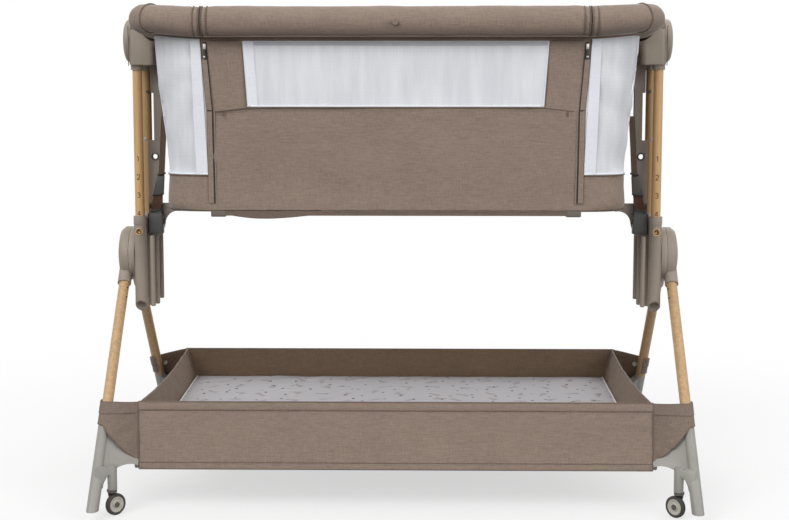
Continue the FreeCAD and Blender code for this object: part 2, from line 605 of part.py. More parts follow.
def castor_fork():
    """One-armed fork with its swivel stem, axle and axle cap."""
    crown_bottom = CASTOR_BOSS_BOTTOM - SLIDE_GAP - CROWN_THICKNESS
    crown_top = crown_bottom + CROWN_THICKNESS
    stem = Part.makeCylinder(STEM_RADIUS, STEM_LENGTH - 1, V(0, 0, crown_bottom))
    crown = Part.makeCylinder(CROWN_RADIUS, CROWN_THICKNESS, V(0, 0, crown_bottom))
    arm_outer = TYRE_WIDTH / 2 + SLIDE_GAP + FORK_THICKNESS
    arm_inner = TYRE_WIDTH / 2 + SLIDE_GAP
    axle_y = TRAIL
    points = [V(arm_inner, -CROWN_RADIUS * 0.8, crown_top), V(arm_inner, CROWN_RADIUS * 0.8, crown_top),
              V(arm_inner, axle_y + FORK_END_RADIUS, WHEEL_RADIUS),
              V(arm_inner, axle_y - FORK_END_RADIUS, WHEEL_RADIUS)]
    arm = prism(points, V(FORK_THICKNESS, 0, 0))
    end = rod(FORK_END_RADIUS, V(arm_inner, axle_y, WHEEL_RADIUS), V(arm_outer, axle_y, WHEEL_RADIUS))
    bridge = block(0, arm_outer, -CROWN_RADIUS * 0.8, CROWN_RADIUS * 0.8, crown_bottom, crown_top)
    cap_x = -DISC_WIDTH / 2 - SLIDE_GAP
    axle = rod(AXLE_RADIUS, V(cap_x, axle_y, WHEEL_RADIUS), V(arm_outer, axle_y, WHEEL_RADIUS))
    cap = rod(AXLE_CAP_RADIUS, V(cap_x - AXLE_CAP_THICKNESS, axle_y, WHEEL_RADIUS),
              V(cap_x, axle_y, WHEEL_RADIUS))
    return fused(stem, crown, arm, end, bridge, axle, cap)


def castor_tyre():
    """Rubber tyre with rounded shoulders."""
    half = TYRE_WIDTH / 2
    inner = WHEEL_RADIUS - TYRE_DEPTH
    shoulder = WHEEL_RADIUS - TYRE_ROUND
    profile = [(inner, -half), (shoulder, -half), (WHEEL_RADIUS, -half + TYRE_ROUND),
               (WHEEL_RADIUS, half - TYRE_ROUND), (shoulder, half), (inner, half)]
    return turned(profile, V(0, TRAIL, WHEEL_RADIUS), V(1, 0, 0))


def castor_disc():
    """Moulded wheel disc, dished on both faces, with its axle bore."""
    half = DISC_WIDTH / 2
    rim = WHEEL_RADIUS - TYRE_DEPTH
    rim_inner = rim - 2.2
    nave = AXLE_CAP_RADIUS + 1.2
    bore = AXLE_RADIUS + PIN_GAP
    profile = [(bore, -half), (nave, -half), (nave + 1, -half + DISC_DISH), (rim_inner - 1, -half + DISC_DISH),
               (rim_inner, -half), (rim, -half), (rim, half), (rim_inner, half),
               (rim_inner - 1, half - DISC_DISH), (nave + 1, half - DISC_DISH), (nave, half), (bore, half)]
    return turned(profile, V(0, TRAIL, WHEEL_RADIUS), V(1, 0, 0))


# ---- Storage tray -----------------------------------------------------------------------------
def panel_body(near, far):
    """Front panel of the tray between two distances behind its outer face."""
    half = TRAY_HALF_LENGTH
    points = [V(-half, -tray_y(TRAY_TOP) + near, TRAY_TOP), V(-half, -tray_y(TRAY_BOTTOM) + near, TRAY_BOTTOM),
              V(-half, -tray_y(TRAY_BOTTOM) + far, TRAY_BOTTOM), V(-half, -tray_y(TRAY_TOP) + far, TRAY_TOP)]
    return prism(points, V(2 * half, 0, 0))


def leg_wrap(side, near, far):
    """Fabric wrap from the front panel's end round the right leg, between two distances behind its face."""
    low = TRAY_BOTTOM + GUSSET_LOW
    root_x = TRAY_HALF_LENGTH - 1
    far_x = leg_x(side) + LEG_RADIUS + WRAP_PAST_LEG
    sweep_y = -tray_y(TRAY_TOP) + GUSSET_TOP_SWEEP
    foot_y = -tray_y(low) + GUSSET_FOOT_SWEEP
    root = [V(root_x, -tray_y(TRAY_TOP) + near, TRAY_TOP), V(root_x, -tray_y(low) + near, low),
            V(root_x, -tray_y(low) + far, low), V(root_x, -tray_y(TRAY_TOP) + far, TRAY_TOP)]
    tip = [V(far_x, sweep_y + near, TRAY_TOP), V(far_x, foot_y + near, TRAY_TOP - GUSSET_EDGE),
           V(far_x, foot_y + far, TRAY_TOP - GUSSET_EDGE), V(far_x, sweep_y + far, TRAY_TOP)]
    wires = [Part.makePolygon(p + [p[0]]) for p in (root, tip)]
    return Part.makeLoft(wires, True, True)


def tray_panel(side):
    """Long tray panel with the wraps that run round both legs."""
    wrap = leg_wrap(side, 0, CLOTH)
    return on_side(fused(panel_body(0, CLOTH), wrap, mirror_x(wrap)), side)


def tray_inner_y(z):
    """Clear half width between the tray's long panels at a height."""
    return tray_y(z) - CLOTH - SOFT_GAP


def tray_floor():
    """Stiffened fabric floor of the tray."""
    half_x = TRAY_HALF_LENGTH - CLOTH - TRAY_END_LEAN
    half_y = tray_inner_y(TRAY_FLOOR + TRAY_FLOOR_THICKNESS)
    return block(-half_x, half_x, -half_y, half_y, TRAY_FLOOR, TRAY_FLOOR + TRAY_FLOOR_THICKNESS)


def tray_liner():
    """Thin padded liner on the tray's floor."""
    half_x = TRAY_HALF_LENGTH - CLOTH - TRAY_END_LEAN - LINER_MARGIN / 4
    half_y = tray_inner_y(TRAY_FLOOR) - LINER_MARGIN
    z0 = TRAY_FLOOR + TRAY_FLOOR_THICKNESS
    wires = [rounded_outline(half_x, half_y, LINER_MARGIN, z0),
             rounded_outline(half_x, half_y, LINER_MARGIN, z0 + LINER_THICKNESS * 0.6),
             rounded_outline(half_x - 4, half_y - 4, LINER_MARGIN - 4, z0 + LINER_THICKNESS)]
    return Part.makeLoft(wires, True, True)


def tray_end():
    """End panel of the tray, leaning in towards the floor."""
    half_y = tray_inner_y(TRAY_TOP)
    top_x = TRAY_HALF_LENGTH - TRAY_END_INSET
    foot_x = TRAY_HALF_LENGTH - TRAY_END_LEAN
    z0 = TRAY_FLOOR
    points = [V(top_x, -half_y, TRAY_TOP), V(foot_x, -half_y, z0), V(foot_x - CLOTH, -half_y, z0),
              V(top_x - CLOTH, -half_y, TRAY_TOP)]
    return prism(points, V(0, 2 * half_y, 0))


# ---- Rails ------------------------------------------------------------------------------------
def ring_path():
    """Path of the fixed rail: round three sides and both front corners, open at the drop side."""
    x = RAIL_HALF_LENGTH
    y = RAIL_HALF_WIDTH
    r = RAIL_CORNER
    z = RAIL_HEIGHT
    end = DROP_HALF_LENGTH + SLIDE_GAP
    k = r * (1 - math.sqrt(0.5))
    corners = [(x, -y), (x, y), (-x, y), (-x, -y)]
    edges = []
    last = V(end, -y, z)
    for cx, cy in corners:
        sx = math.copysign(1, cx)
        sy = math.copysign(1, cy)
        along_x = V(cx - sx * r, cy, z)
        along_y = V(cx, cy - sy * r, z)
        enter, leave = (along_x, along_y) if sx * sy < 0 else (along_y, along_x)
        edges.append(Part.makeLine(last, enter))
        edges.append(Part.Arc(enter, V(cx - sx * k, cy - sy * k, z), leave).toShape())
        last = leave
    edges.append(Part.makeLine(last, V(-end, -y, z)))
    return Part.Wire(edges)


def swept_rail(radius):
    """Round section swept round the fixed rail's path."""
    start = V(DROP_HALF_LENGTH + SLIDE_GAP, -RAIL_HALF_WIDTH, RAIL_HEIGHT)
    ring = Part.Wire(Part.makeCircle(radius, start, V(1, 0, 0)))
    return ring_path().makePipeShell([ring], True, False)


def straight_rail(radius):
    """Round rail across the drop-down front."""
    end = DROP_HALF_LENGTH - SLIDE_GAP
    return rod(radius, V(-end, -RAIL_HALF_WIDTH, RAIL_HEIGHT), V(end, -RAIL_HALF_WIDTH, RAIL_HEIGHT))


def rail_stud():
    """Plain press stud in the middle of the drop rail."""
    y = -RAIL_HALF_WIDTH - RAIL_RADIUS
    z = RAIL_HEIGHT - STUD_DROP
    stud = rod(STUD_RADIUS, V(0, y - STUD_PROUD, z), V(0, y + 4, z))
    rim = [e for e in stud.Edges if abs(e.CenterOfMass.y - (y - STUD_PROUD)) < 0.01]
    return stud.makeFillet(STUD_PROUD * 0.6, rim)


# ---- Tub --------------------------------------------------------------------------------------
def drop_volume(margin):
    """Wedge that holds the drop-down front, wider by a margin on each side."""
    top = TUB_TOP + 5
    low = DROP_FOOT - margin
    depth = 60.0
    points = [V(-drop_half_length(low) - margin, -TUB_TOP_HALF_WIDTH - 20, low),
              V(drop_half_length(low) + margin, -TUB_TOP_HALF_WIDTH - 20, low),
              V(drop_half_length(top) + margin, -TUB_TOP_HALF_WIDTH - 20, top),
              V(-drop_half_length(top) - margin, -TUB_TOP_HALF_WIDTH - 20, top)]
    return prism(points, V(0, depth, 0))


def corner_mesh_volume():
    """Space of the right-hand mesh panel, from the zip round the front corner to the housing."""
    zip_top = drop_half_length(TUB_TOP) + CORNER_MESH_MARGIN
    zip_low = drop_half_length(CORNER_MESH_BOTTOM) + CORNER_MESH_MARGIN
    y = -TUB_TOP_HALF_WIDTH - 20
    top = TUB_TOP - MESH_WINDOW_MARGIN / 2
    far = TUB_TOP_HALF_LENGTH + 20
    points = [V(zip_low, y, CORNER_MESH_BOTTOM), V(far, y, CORNER_MESH_BOTTOM), V(far, y, top),
              V(zip_top, y, top)]
    return prism(points, V(0, TUB_TOP_HALF_WIDTH + 20 - CORNER_MESH_BACK, 0))


def window_volume(side):
    """Space of the long mesh window in the front or back."""
    top = TUB_TOP - MESH_WINDOW_MARGIN
    half_top = WINDOW_HALF_LENGTH
    half_low = WINDOW_HALF_LENGTH * drop_half_length(MESH_WINDOW_BOTTOM) / drop_half_length(TUB_TOP)
    y = side * (TUB_TOP_HALF_WIDTH + 20)
    points = [V(-half_low, y, MESH_WINDOW_BOTTOM), V(half_low, y, MESH_WINDOW_BOTTOM),
              V(half_top, y, top), V(-half_top, y, top)]
    return prism(points, V(0, -side * 60.0, 0))


def tub_pieces():
    """Tub shell, its three mesh panels, and the drop-down front with its window."""
    outer = tub_body(0, TUB_BOTTOM, TUB_TOP)
    walls = outer.cut(tub_body(TUB_WALL, TUB_BOTTOM + TUB_WALL, TUB_TOP + 5))
    mesh_inset = (TUB_WALL - MESH_THICKNESS) / 2
    mesh_walls = tub_body(mesh_inset, TUB_BOTTOM + 20, TUB_TOP)
    mesh_walls = mesh_walls.cut(tub_body(mesh_inset + MESH_THICKNESS, TUB_BOTTOM + 10, TUB_TOP + 5))
    front_window = window_volume(FRONT)
    back_window = window_volume(REAR)
    corner = corner_mesh_volume()
    shell = walls.cut([drop_volume(SLIDE_GAP), back_window, corner, mirror_x(corner)])
    drop_panel = walls.common(drop_volume(0)).cut(front_window)
    corner_mesh = mesh_walls.common(corner)
    return {
        "tub_shell": shell,
        "back_mesh": mesh_walls.common(back_window),
        "corner_meshes": Part.makeCompound([corner_mesh, mirror_x(corner_mesh)]),
        "drop_panel": drop_panel,
        "drop_window": mesh_walls.common(front_window),
    }


def inner_outline(inset, z):
    """Outline inside the tub's wall at a height, drawn in by an inset."""
    shrink = TUB_WALL + inset
    corner = max(tub_corner(z) - shrink, 5.0)
    return rounded_outline(tub_half_length(z) - shrink, tub_half_width(z) - shrink, corner, z)


def base_board():
    """Stiff board under the mattress."""
    z0 = TUB_BOTTOM + TUB_WALL
    outline = inner_outline(BASE_BOARD_MARGIN, z0)
    return Part.Face(outline).extrude(V(0, 0, BASE_BOARD_THICKNESS))


def mattress():
    """Mattress with drawn-in sides and a crowned top."""
    z0 = TUB_BOTTOM + TUB_WALL + BASE_BOARD_THICKNESS
    full = MATTRESS_MARGIN + SOFT_GAP
    steps = [(full + MATTRESS_ROUND, 0), (full + 1, MATTRESS_ROUND * 0.7), (full, MATTRESS_ROUND * 1.4),
             (full + 1.5, MATTRESS_THICKNESS * 0.5), (full, MATTRESS_THICKNESS - MATTRESS_ROUND * 1.8),
             (full + 2, MATTRESS_THICKNESS - MATTRESS_ROUND), (full + 12, MATTRESS_THICKNESS - MATTRESS_CROWN),
             (full + 70, MATTRESS_THICKNESS)]
    wires = []
    for inset, rise in steps:
        shrink = TUB_WALL + inset
        corner = max(tub_corner(z0) - shrink, 5.0)
        wires.append(rounded_outline(tub_half_length(z0) - shrink, tub_half_width(z0) - shrink, corner, z0 + rise))
    return Part.makeLoft(wires, True, True)


# ---- Zips -------------------------------------------------------------------------------------
def zip_frame(rise, out):
    """Point on the right-hand zip at a height, a distance out from the tub's face."""
    return V(drop_half_length(rise) + SLIDE_GAP + ZIP_WIDTH / 2, -tub_half_width(rise) - out, rise)


def strip_between(low, high, width, near, far):
    """Flat strip along the zip between two heights, from one distance off the tub to another."""
    wires = []
    for z in (low, high):
        inner = zip_frame(z, near)
        outer = zip_frame(z, far)
        half = V(width / 2, 0, 0)
        corners = [inner - half, inner + half, outer + half, outer - half]
        wires.append(Part.makePolygon(corners + [corners[0]]))
    return Part.makeLoft(wires, True, True)


def zip_tape():
    """Closed zip along the edge of the drop-down front."""
    low = DROP_FOOT + 6
    high = RAIL_HEIGHT - RAIL_RADIUS - 6
    return strip_between(low, high, ZIP_WIDTH, 0.0, ZIP_THICKNESS)


def zip_slider():
    """Zip slider with its pull, at the top of its run."""
    top = RAIL_HEIGHT - RAIL_RADIUS - 8
    near = ZIP_THICKNESS + SLIDE_GAP
    body = strip_between(top - SLIDER_LENGTH, top, SLIDER_WIDTH, near, near + SLIDER_THICKNESS)
    pull_near = near + SLIDER_THICKNESS * 0.5
    pull = strip_between(top - SLIDER_LENGTH - PULL_LENGTH, top - SLIDER_LENGTH * 0.4, SLIDER_WIDTH * 0.55,
                         pull_near, pull_near + PULL_THICKNESS + SLIDER_THICKNESS * 0.5)
    return fused(body, pull)


# ---- Ends of the bassinet ---------------------------------------------------------------------
def post(side):
    """Wooden post."""
    top = HOUSING_BOTTOM + POST_SEAT
    place = V(POST_HALF_SPAN, side * POST_HALF_PITCH, POST_BOTTOM)
    return Part.makeCylinder(POST_RADIUS, top - POST_BOTTOM, place)


def cheek():
    """Rounded outer cover of a top housing."""
    inner = COLUMN_FACE - 1
    outline = []
    y = CHEEK_STRAIGHT
    r = CHEEK_HALF_HEIGHT
    z = CHEEK_HEIGHT
    outline.append(Part.makeLine(V(inner, -y, z - r), V(inner, y, z - r)))
    outline.append(Part.Arc(V(inner, y, z - r), V(inner, y + r, z), V(inner, y, z + r)).toShape())
    outline.append(Part.makeLine(V(inner, y, z + r), V(inner, -y, z + r)))
    outline.append(Part.Arc(V(inner, -y, z + r), V(inner, -y - r, z), V(inner, -y, z - r)).toShape())
    cover = Part.Face(Part.Wire(outline)).extrude(V(CHEEK_THICKNESS + 1, 0, 0))
    outer = inner + CHEEK_THICKNESS + 1
    rim = [e for e in cover.Edges if abs(e.CenterOfMass.x - outer) < 0.01]
    return cover.makeFillet(CHEEK_ROUND, rim)


def top_housing():
    """Moulded housing that joins the rail, the posts and the end strut."""
    body = block(HOUSING_INNER_X, COLUMN_FACE, -HOUSING_HALF_WIDTH, HOUSING_HALF_WIDTH, HOUSING_BOTTOM, HOUSING_TOP)
    upright = [e for e in body.Edges if abs(e.tangentAt(e.FirstParameter).z) > 0.9]
    body = body.makeFillet(HOUSING_CORNER, upright)
    pieces = [cheek()]
    for side in (FRONT, REAR):
        place = V(POST_HALF_SPAN, side * POST_HALF_PITCH, HOUSING_BOTTOM - SOCKET_DROP)
        pieces.append(Part.makeCylinder(POST_RADIUS + SOCKET_WALL, SOCKET_DROP + 5, place))
    housing = fused(body, *pieces)
    reach = HOUSING_HALF_WIDTH + 10
    cuts = [rod(RAIL_RADIUS + SOFT_GAP, V(RAIL_HALF_LENGTH, -reach, RAIL_HEIGHT),
                V(RAIL_HALF_LENGTH, reach, RAIL_HEIGHT))]
    for side in (FRONT, REAR):
        place = V(POST_HALF_SPAN, side * POST_HALF_PITCH, HOUSING_BOTTOM - SOCKET_DROP - 1)
        cuts.append(Part.makeCylinder(POST_RADIUS + SEAT_GAP, SOCKET_DROP + 1 + POST_SEAT, place))
    return housing.cut(cuts)


def end_strut():
    """Upright strap between the top housing and the end bracket."""
    middle = -BRACKET_FRONT + BRACKET_THICKNESS / 2
    half = STRUT_THICKNESS / 2
    strut = block(STRUT_INNER_X, STRUT_INNER_X + STRUT_WIDTH, middle - half, middle + half,
                  BRACKET_TOP, HOUSING_BOTTOM)
    upright = [e for e in strut.Edges if abs(e.tangentAt(e.FirstParameter).z) > 0.9]
    return strut.makeFillet(STRUT_THICKNESS / 4, upright)


def end_bracket():
    """Flat bracket with the tether hole and a curved foot under the tub."""
    y = -BRACKET_FRONT
    outer = BRACKET_INNER_X + BRACKET_WIDTH
    knee_x = BRACKET_INNER_X - KNEE_REACH
    tub_foot = TUB_BOTTOM - SOFT_GAP
    knee_low = tub_foot - KNEE_THICKNESS
    elbow = V(BRACKET_INNER_X - KNEE_REACH * 0.16, y, knee_low - 17)
    heel = V(BRACKET_INNER_X + 6, y, BRACKET_BOTTOM)
    inner_x = max(BRACKET_INNER_X, tub_half_length(BRACKET_TOP) + 8)
    edges = [Part.makeLine(V(inner_x, y, BRACKET_TOP), V(outer, y, BRACKET_TOP)),
             Part.makeLine(V(outer, y, BRACKET_TOP), V(outer, y, BRACKET_BOTTOM + 6)),
             Part.Arc(V(outer, y, BRACKET_BOTTOM + 6), V(outer - 2, y, BRACKET_BOTTOM + 1.5),
                      V(outer - 7, y, BRACKET_BOTTOM)).toShape(),
             Part.makeLine(V(outer - 7, y, BRACKET_BOTTOM), heel),
             Part.Arc(heel, V(elbow.x + 3, y, elbow.z - 13), elbow).toShape(),
             Part.Arc(elbow, V(elbow.x - 7, y, elbow.z + 12), V(knee_x, y, knee_low)).toShape(),
             Part.makeLine(V(knee_x, y, knee_low), V(knee_x, y, tub_foot)),
             Part.makeLine(V(knee_x, y, tub_foot), V(inner_x, y, tub_foot)),
             Part.makeLine(V(inner_x, y, tub_foot), V(inner_x, y, BRACKET_TOP))]
    plate = Part.Face(Part.Wire(edges)).extrude(V(0, BRACKET_THICKNESS, 0))
    hole = rod(TETHER_HOLE_RADIUS, V(TETHER_HOLE_X, y - 1, TETHER_HOLE_Z),
               V(TETHER_HOLE_X, y + BRACKET_THICKNESS + 1, TETHER_HOLE_Z))
    return plate.cut(hole)


def buckle_front():
    """Y of the face that the buckles and straps lie on."""
    return -BRACKET_FRONT - SOFT_GAP


def buckle_socket():
    """Socket half of the side-release buckle, open at the top and with two side windows."""
    y1 = buckle_front()
    y0 = y1 - BUCKLE_DEPTH
    half = BUCKLE_WIDTH / 2
    top = BUCKLE_BOTTOM + BUCKLE_HEIGHT
    shell = block(BUCKLE_CENTRE_X - half, BUCKLE_CENTRE_X + half, y0, y1, BUCKLE_BOTTOM, top)
    shell = shell.makeFillet(BUCKLE_ROUND, [e for e in shell.Edges if abs(e.tangentAt(e.FirstParameter).z) > 0.9])
    mouth_half = PLUG_WIDTH / 2 + SEAT_GAP
    middle = (y0 + y1) / 2
    mouth_depth = PLUG_DEPTH / 2 + SEAT_GAP
    mouth = block(BUCKLE_CENTRE_X - mouth_half, BUCKLE_CENTRE_X + mouth_half, middle - mouth_depth,
                  middle + mouth_depth, top - BUCKLE_HEIGHT * 0.6, top + 1)
    side_window = block(BUCKLE_CENTRE_X - half - 1, BUCKLE_CENTRE_X + half + 1, middle - mouth_depth,
                        middle + mouth_depth, top - BUCKLE_HEIGHT * 0.55, top - BUCKLE_HEIGHT * 0.25)
    return shell.cut([mouth, side_window])


def buckle_plug():
    """Plug half of the buckle: a strap bar above and two spring arms in the socket."""
    y1 = buckle_front() - BUCKLE_DEPTH / 2 + PLUG_DEPTH / 2
    y0 = y1 - PLUG_DEPTH
    half = PLUG_WIDTH / 2
    socket_top = BUCKLE_BOTTOM + BUCKLE_HEIGHT
    floor = socket_top - BUCKLE_HEIGHT * 0.6
    body = block(BUCKLE_CENTRE_X - half, BUCKLE_CENTRE_X + half, y0, y1, socket_top - 3, socket_top + PLUG_HEIGHT)
    arm = PLUG_WIDTH * 0.2
    arms = [block(BUCKLE_CENTRE_X - half, BUCKLE_CENTRE_X - half + arm, y0, y1, floor, socket_top - 2),
            block(BUCKLE_CENTRE_X + half - arm, BUCKLE_CENTRE_X + half, y0, y1, floor, socket_top - 2)]
    slot_half = STRAP_WIDTH / 2 + SOFT_GAP
    slot = block(BUCKLE_CENTRE_X - slot_half, BUCKLE_CENTRE_X + slot_half, y0 - 1, y1 + 1,
                 socket_top + PLUG_HEIGHT * 0.45, socket_top + PLUG_HEIGHT * 0.8)
    return fused(body, *arms).cut(slot)


def strap():
    """Webbing from the buckle's bar up the bracket."""
    y1 = buckle_front()
    y0 = y1 - STRAP_THICKNESS
    half = STRAP_WIDTH / 2
    low = BUCKLE_BOTTOM + BUCKLE_HEIGHT + PLUG_HEIGHT + SOFT_GAP
    return block(BUCKLE_CENTRE_X - half, BUCKLE_CENTRE_X + half, y0, y1, low, STRAP_TOP)


# ---- The whole crib ---------------------------------------------------------------------------
def write_stand():
    """Columns, hubs, legs, feet, bars, castors and buttons."""
    write_pair("column_housing", column_housing())
    write_both("hub_pins", hub_pin())
    write_pair("height_button", height_button())
    write_pair("fold_button", fold_button())
    write_pair("front_hub", front_hub())
    write_pair("rear_hub", rear_hub())
    for name, side in (("front", FRONT), ("rear", REAR)):
        write_both(f"{name}_legs", leg(side))
        write_pair(f"{name}_foot", foot(side))
        write(f"{name}_cross_bar", cross_bar(side))
        write_pair(f"{name}_castor_fork", castor_place(castor_fork(), side))
        write_pair(f"{name}_tyre", castor_place(castor_tyre(), side))
        write_pair(f"{name}_wheel_disc", castor_place(castor_disc(), side))


def write_tray():
    """Storage tray."""
    write("tray_front_panel", tray_panel(FRONT))
    write("tray_back_panel", tray_panel(REAR))
    write("tray_floor", tray_floor())
    write("tray_liner", tray_liner())
    write_both("tray_ends", tray_end())


def write_bassinet():
    """Rails, tub, bedding, zips, posts and the fittings at both ends."""
    ring_tube = swept_rail(RAIL_TUBE_RADIUS)
    write("rail_tube", ring_tube)
    write("rail_cover", swept_rail(RAIL_RADIUS).cut(swept_rail(RAIL_TUBE_RADIUS)))
    drop_tube = straight_rail(RAIL_TUBE_RADIUS)
    write("drop_rail_tube", drop_tube)
    stud = rail_stud()
    write("drop_rail_cover", straight_rail(RAIL_RADIUS).cut([drop_tube, stud]))
    write("rail_stud", stud)
    for node, shape in tub_pieces().items():
        write(node, shape)
    write("base_board", base_board())
    write("mattress", mattress())
    write_both("zip_tapes", zip_tape())
    write_pair("zip_slider", zip_slider())
    posts = Part.makeCompound([post(FRONT), post(REAR)])
    write_pair("posts", posts)
    write_pair("top_housing", top_housing())
    write_both("end_struts", end_strut())
    write_both("end_brackets", end_bracket())
    write_both("buckle_sockets", buckle_socket())
    write_both("buckle_plugs", buckle_plug())
    write_both("straps", strap())


os.makedirs("parts", exist_ok=True)
write_stand()
write_tray()
write_bassinet()
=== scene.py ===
"""Dressed model of a bedside sleeper crib.

A padded bassinet hangs on wooden posts at each end. The posts slide in moulded columns on folding
beech legs, and a fabric storage tray hangs between the feet. All lengths in the code are millimetres
until they are turned into Blender's metres by the constant MM. The frame's axes are +X to the right,
-Y towards the parent's bed and +Z up, with the origin on the floor.
"""

import json
import logging
import math
from contextlib import contextmanager
from dataclasses import dataclass, field
from enum import Enum
from typing import Callable, Iterator, Sequence

import bmesh
import bpy
from mathutils import Matrix, Vector, noise

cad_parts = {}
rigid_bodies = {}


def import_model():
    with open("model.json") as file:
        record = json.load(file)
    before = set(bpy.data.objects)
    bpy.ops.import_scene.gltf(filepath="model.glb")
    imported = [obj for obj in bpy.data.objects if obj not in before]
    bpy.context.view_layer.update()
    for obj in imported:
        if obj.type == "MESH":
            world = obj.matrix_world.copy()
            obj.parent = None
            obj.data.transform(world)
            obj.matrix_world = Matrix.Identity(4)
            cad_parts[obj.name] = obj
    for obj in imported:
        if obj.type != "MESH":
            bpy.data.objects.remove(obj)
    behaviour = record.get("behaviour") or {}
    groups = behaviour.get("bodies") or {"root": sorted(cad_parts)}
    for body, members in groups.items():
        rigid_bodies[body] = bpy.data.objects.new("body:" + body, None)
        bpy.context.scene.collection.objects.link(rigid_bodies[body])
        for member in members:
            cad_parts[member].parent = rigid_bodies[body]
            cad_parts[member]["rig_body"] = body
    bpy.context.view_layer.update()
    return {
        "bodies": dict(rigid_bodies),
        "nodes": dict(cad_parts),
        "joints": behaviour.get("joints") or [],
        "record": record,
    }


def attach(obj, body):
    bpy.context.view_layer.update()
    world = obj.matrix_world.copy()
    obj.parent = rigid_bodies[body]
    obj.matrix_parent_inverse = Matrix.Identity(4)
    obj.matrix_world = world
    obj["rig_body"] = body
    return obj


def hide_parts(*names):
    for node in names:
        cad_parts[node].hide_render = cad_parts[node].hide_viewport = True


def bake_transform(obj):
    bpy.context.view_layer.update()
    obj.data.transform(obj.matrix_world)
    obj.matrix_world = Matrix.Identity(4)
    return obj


LOG = logging.getLogger("crib")
MM = 0.001
SMOOTH_ANGLE = math.radians(32)
Point = tuple[float, float, float]
Piece = bpy.types.Object
Tree = bpy.types.NodeTree
Node = bpy.types.Node
Socket = bpy.types.NodeSocket
# The folding legs: their lean from the upright in degrees, and the height of the hubs they turn on.
LEG_SPLAY = 41.5
HUB_HEIGHT = 382.0


class End(Enum):
    """Which end of the crib a piece is on, with the sign of its X."""

    RIGHT = 1
    LEFT = -1

    @property
    def tag(self) -> str:
        """The end as the pieces' names spell it."""
        return self.name.lower()


class Side(Enum):
    """Which long side of the crib a piece is on, with the sign of its Y."""

    FRONT = -1
    REAR = 1

    @property
    def tag(self) -> str:
        """The side as the pieces' names spell it."""
        return self.name.lower()

    @property
    def stand(self) -> str:
        """The leg frame on this side, which its cloth moves with."""
        return f"{self.tag}_stand"

    @property
    def leg_x(self) -> float:
        """Distance of this side's leg axes from the middle; the rear legs fold inside the front ones."""
        return 465.7 if self is Side.FRONT else 456.15


class Grain(Enum):
    """The way a wooden piece's grain runs, as a turn about X from the vertical, in degrees."""

    UPRIGHT = 0.0
    FRONT_LEG = -LEG_SPLAY
    REAR_LEG = LEG_SPLAY


# ---- Working with meshes ----------------------------------------------------------------------
def linear(code: str) -> tuple[float, float, float, float]:
    """Turns an sRGB hex value into a linear colour.

    Args:
        code: Six hex digits after a hash.

    Returns:
        Red, green, blue and an alpha of 1.
    """
    parts = [int(code[i:i + 2], 16) / 255 for i in (1, 3, 5)]
    lit = [c / 12.92 if c <= 0.04045 else ((c + 0.055) / 1.055) ** 2.4 for c in parts]
    return lit[0], lit[1], lit[2], 1.0


def clamp(value: float, low: float = 0.0, high: float = 1.0) -> float:
    """The value, or the nearer of two limits where it is outside them."""
    return max(low, min(high, value))


def inner_point(place: Vector, flat_x: float, flat_y: float) -> Vector:
    """The nearest point of a level rectangle of two half sizes, at the place's own height."""
    return Vector((clamp(place.x, -flat_x, flat_x), clamp(place.y, -flat_y, flat_y), place.z))


def corner_share(place: Vector) -> float:
    """How far a place is into one of the bassinet's front corners, from 0 to 1."""
    return clamp((abs(place.x) - 305) / 90) ** 1.5 * clamp((-place.y - 90) / 90)


def leg_y(z: float) -> float:
    """How far in front of or behind the hubs a leg's axis is at a height."""
    return (HUB_HEIGHT - z) * math.tan(math.radians(LEG_SPLAY))


def circle(centre: Sequence[float], radius: float, across: Sequence[float], count: int = 32) -> list[Point]:
    """Points of an upright circle.

    Args:
        centre: Its middle.
        radius: Its radius.
        across: The level direction it spreads in, one unit long.
        count: Number of points.

    Returns:
        The points, each of three numbers.
    """
    middle, level, up = Vector(centre), Vector(across) * radius, Vector((0, 0, radius))
    turns = [i * math.tau / count for i in range(count)]
    return [tuple(middle + level * math.cos(a) + up * math.sin(a)) for a in turns]


def only(piece: Piece) -> None:
    """Makes one piece the only selected one, and the active one."""
    bpy.ops.object.select_all(action="DESELECT")
    piece.select_set(True)
    bpy.context.view_layer.objects.active = piece


@contextmanager
def editing(piece: Piece) -> Iterator[Piece]:
    """Opens a piece in edit mode with nothing selected, and closes it again."""
    only(piece)
    bpy.ops.object.mode_set(mode="EDIT")
    bpy.ops.mesh.select_mode(type="FACE")
    bpy.ops.mesh.select_all(action="DESELECT")
    try:
        yield piece
    finally:
        bpy.ops.object.mode_set(mode="OBJECT")


def pick(kind: str, test: Callable[[Vector, Vector], bool]) -> int:
    """Selects elements of the piece in edit mode by their place.

    Args:
        kind: VERT, EDGE or FACE.
        test: Says from an element's middle and its normal, in millimetres, whether it is wanted.

    Returns:
        How many elements are selected.
    """
    bpy.ops.mesh.select_mode(type=kind)
    bpy.ops.mesh.select_all(action="DESELECT")
    mesh = bpy.context.active_object.data
    work = bmesh.from_edit_mesh(mesh)
    work.normal_update()
    found = 0
    for element in {"VERT": work.verts, "EDGE": work.edges, "FACE": work.faces}[kind]:
        if kind == "VERT":
            middle, normal = element.co, element.normal
        elif kind == "EDGE":
            middle = (element.verts[0].co + element.verts[1].co) / 2
            normal = element.verts[1].co - element.verts[0].co
        else:
            middle, normal = element.calc_center_median(), element.normal
        if test(middle / MM, normal):
            element.select_set(True)
            found += 1
    work.select_flush_mode()
    bmesh.update_edit_mesh(mesh)
    return found


def named(name: str) -> Piece:
    """Names the new active object and its mesh."""
    piece = bpy.context.active_object
    piece.name = name
    piece.data.name = name
    return piece


def settle(piece: Piece) -> Piece:
    """Puts a piece's place into its mesh, so that its object sits at the origin."""
    piece.data.transform(piece.matrix_world)
    piece.matrix_world = Matrix.Identity(4)
    return piece


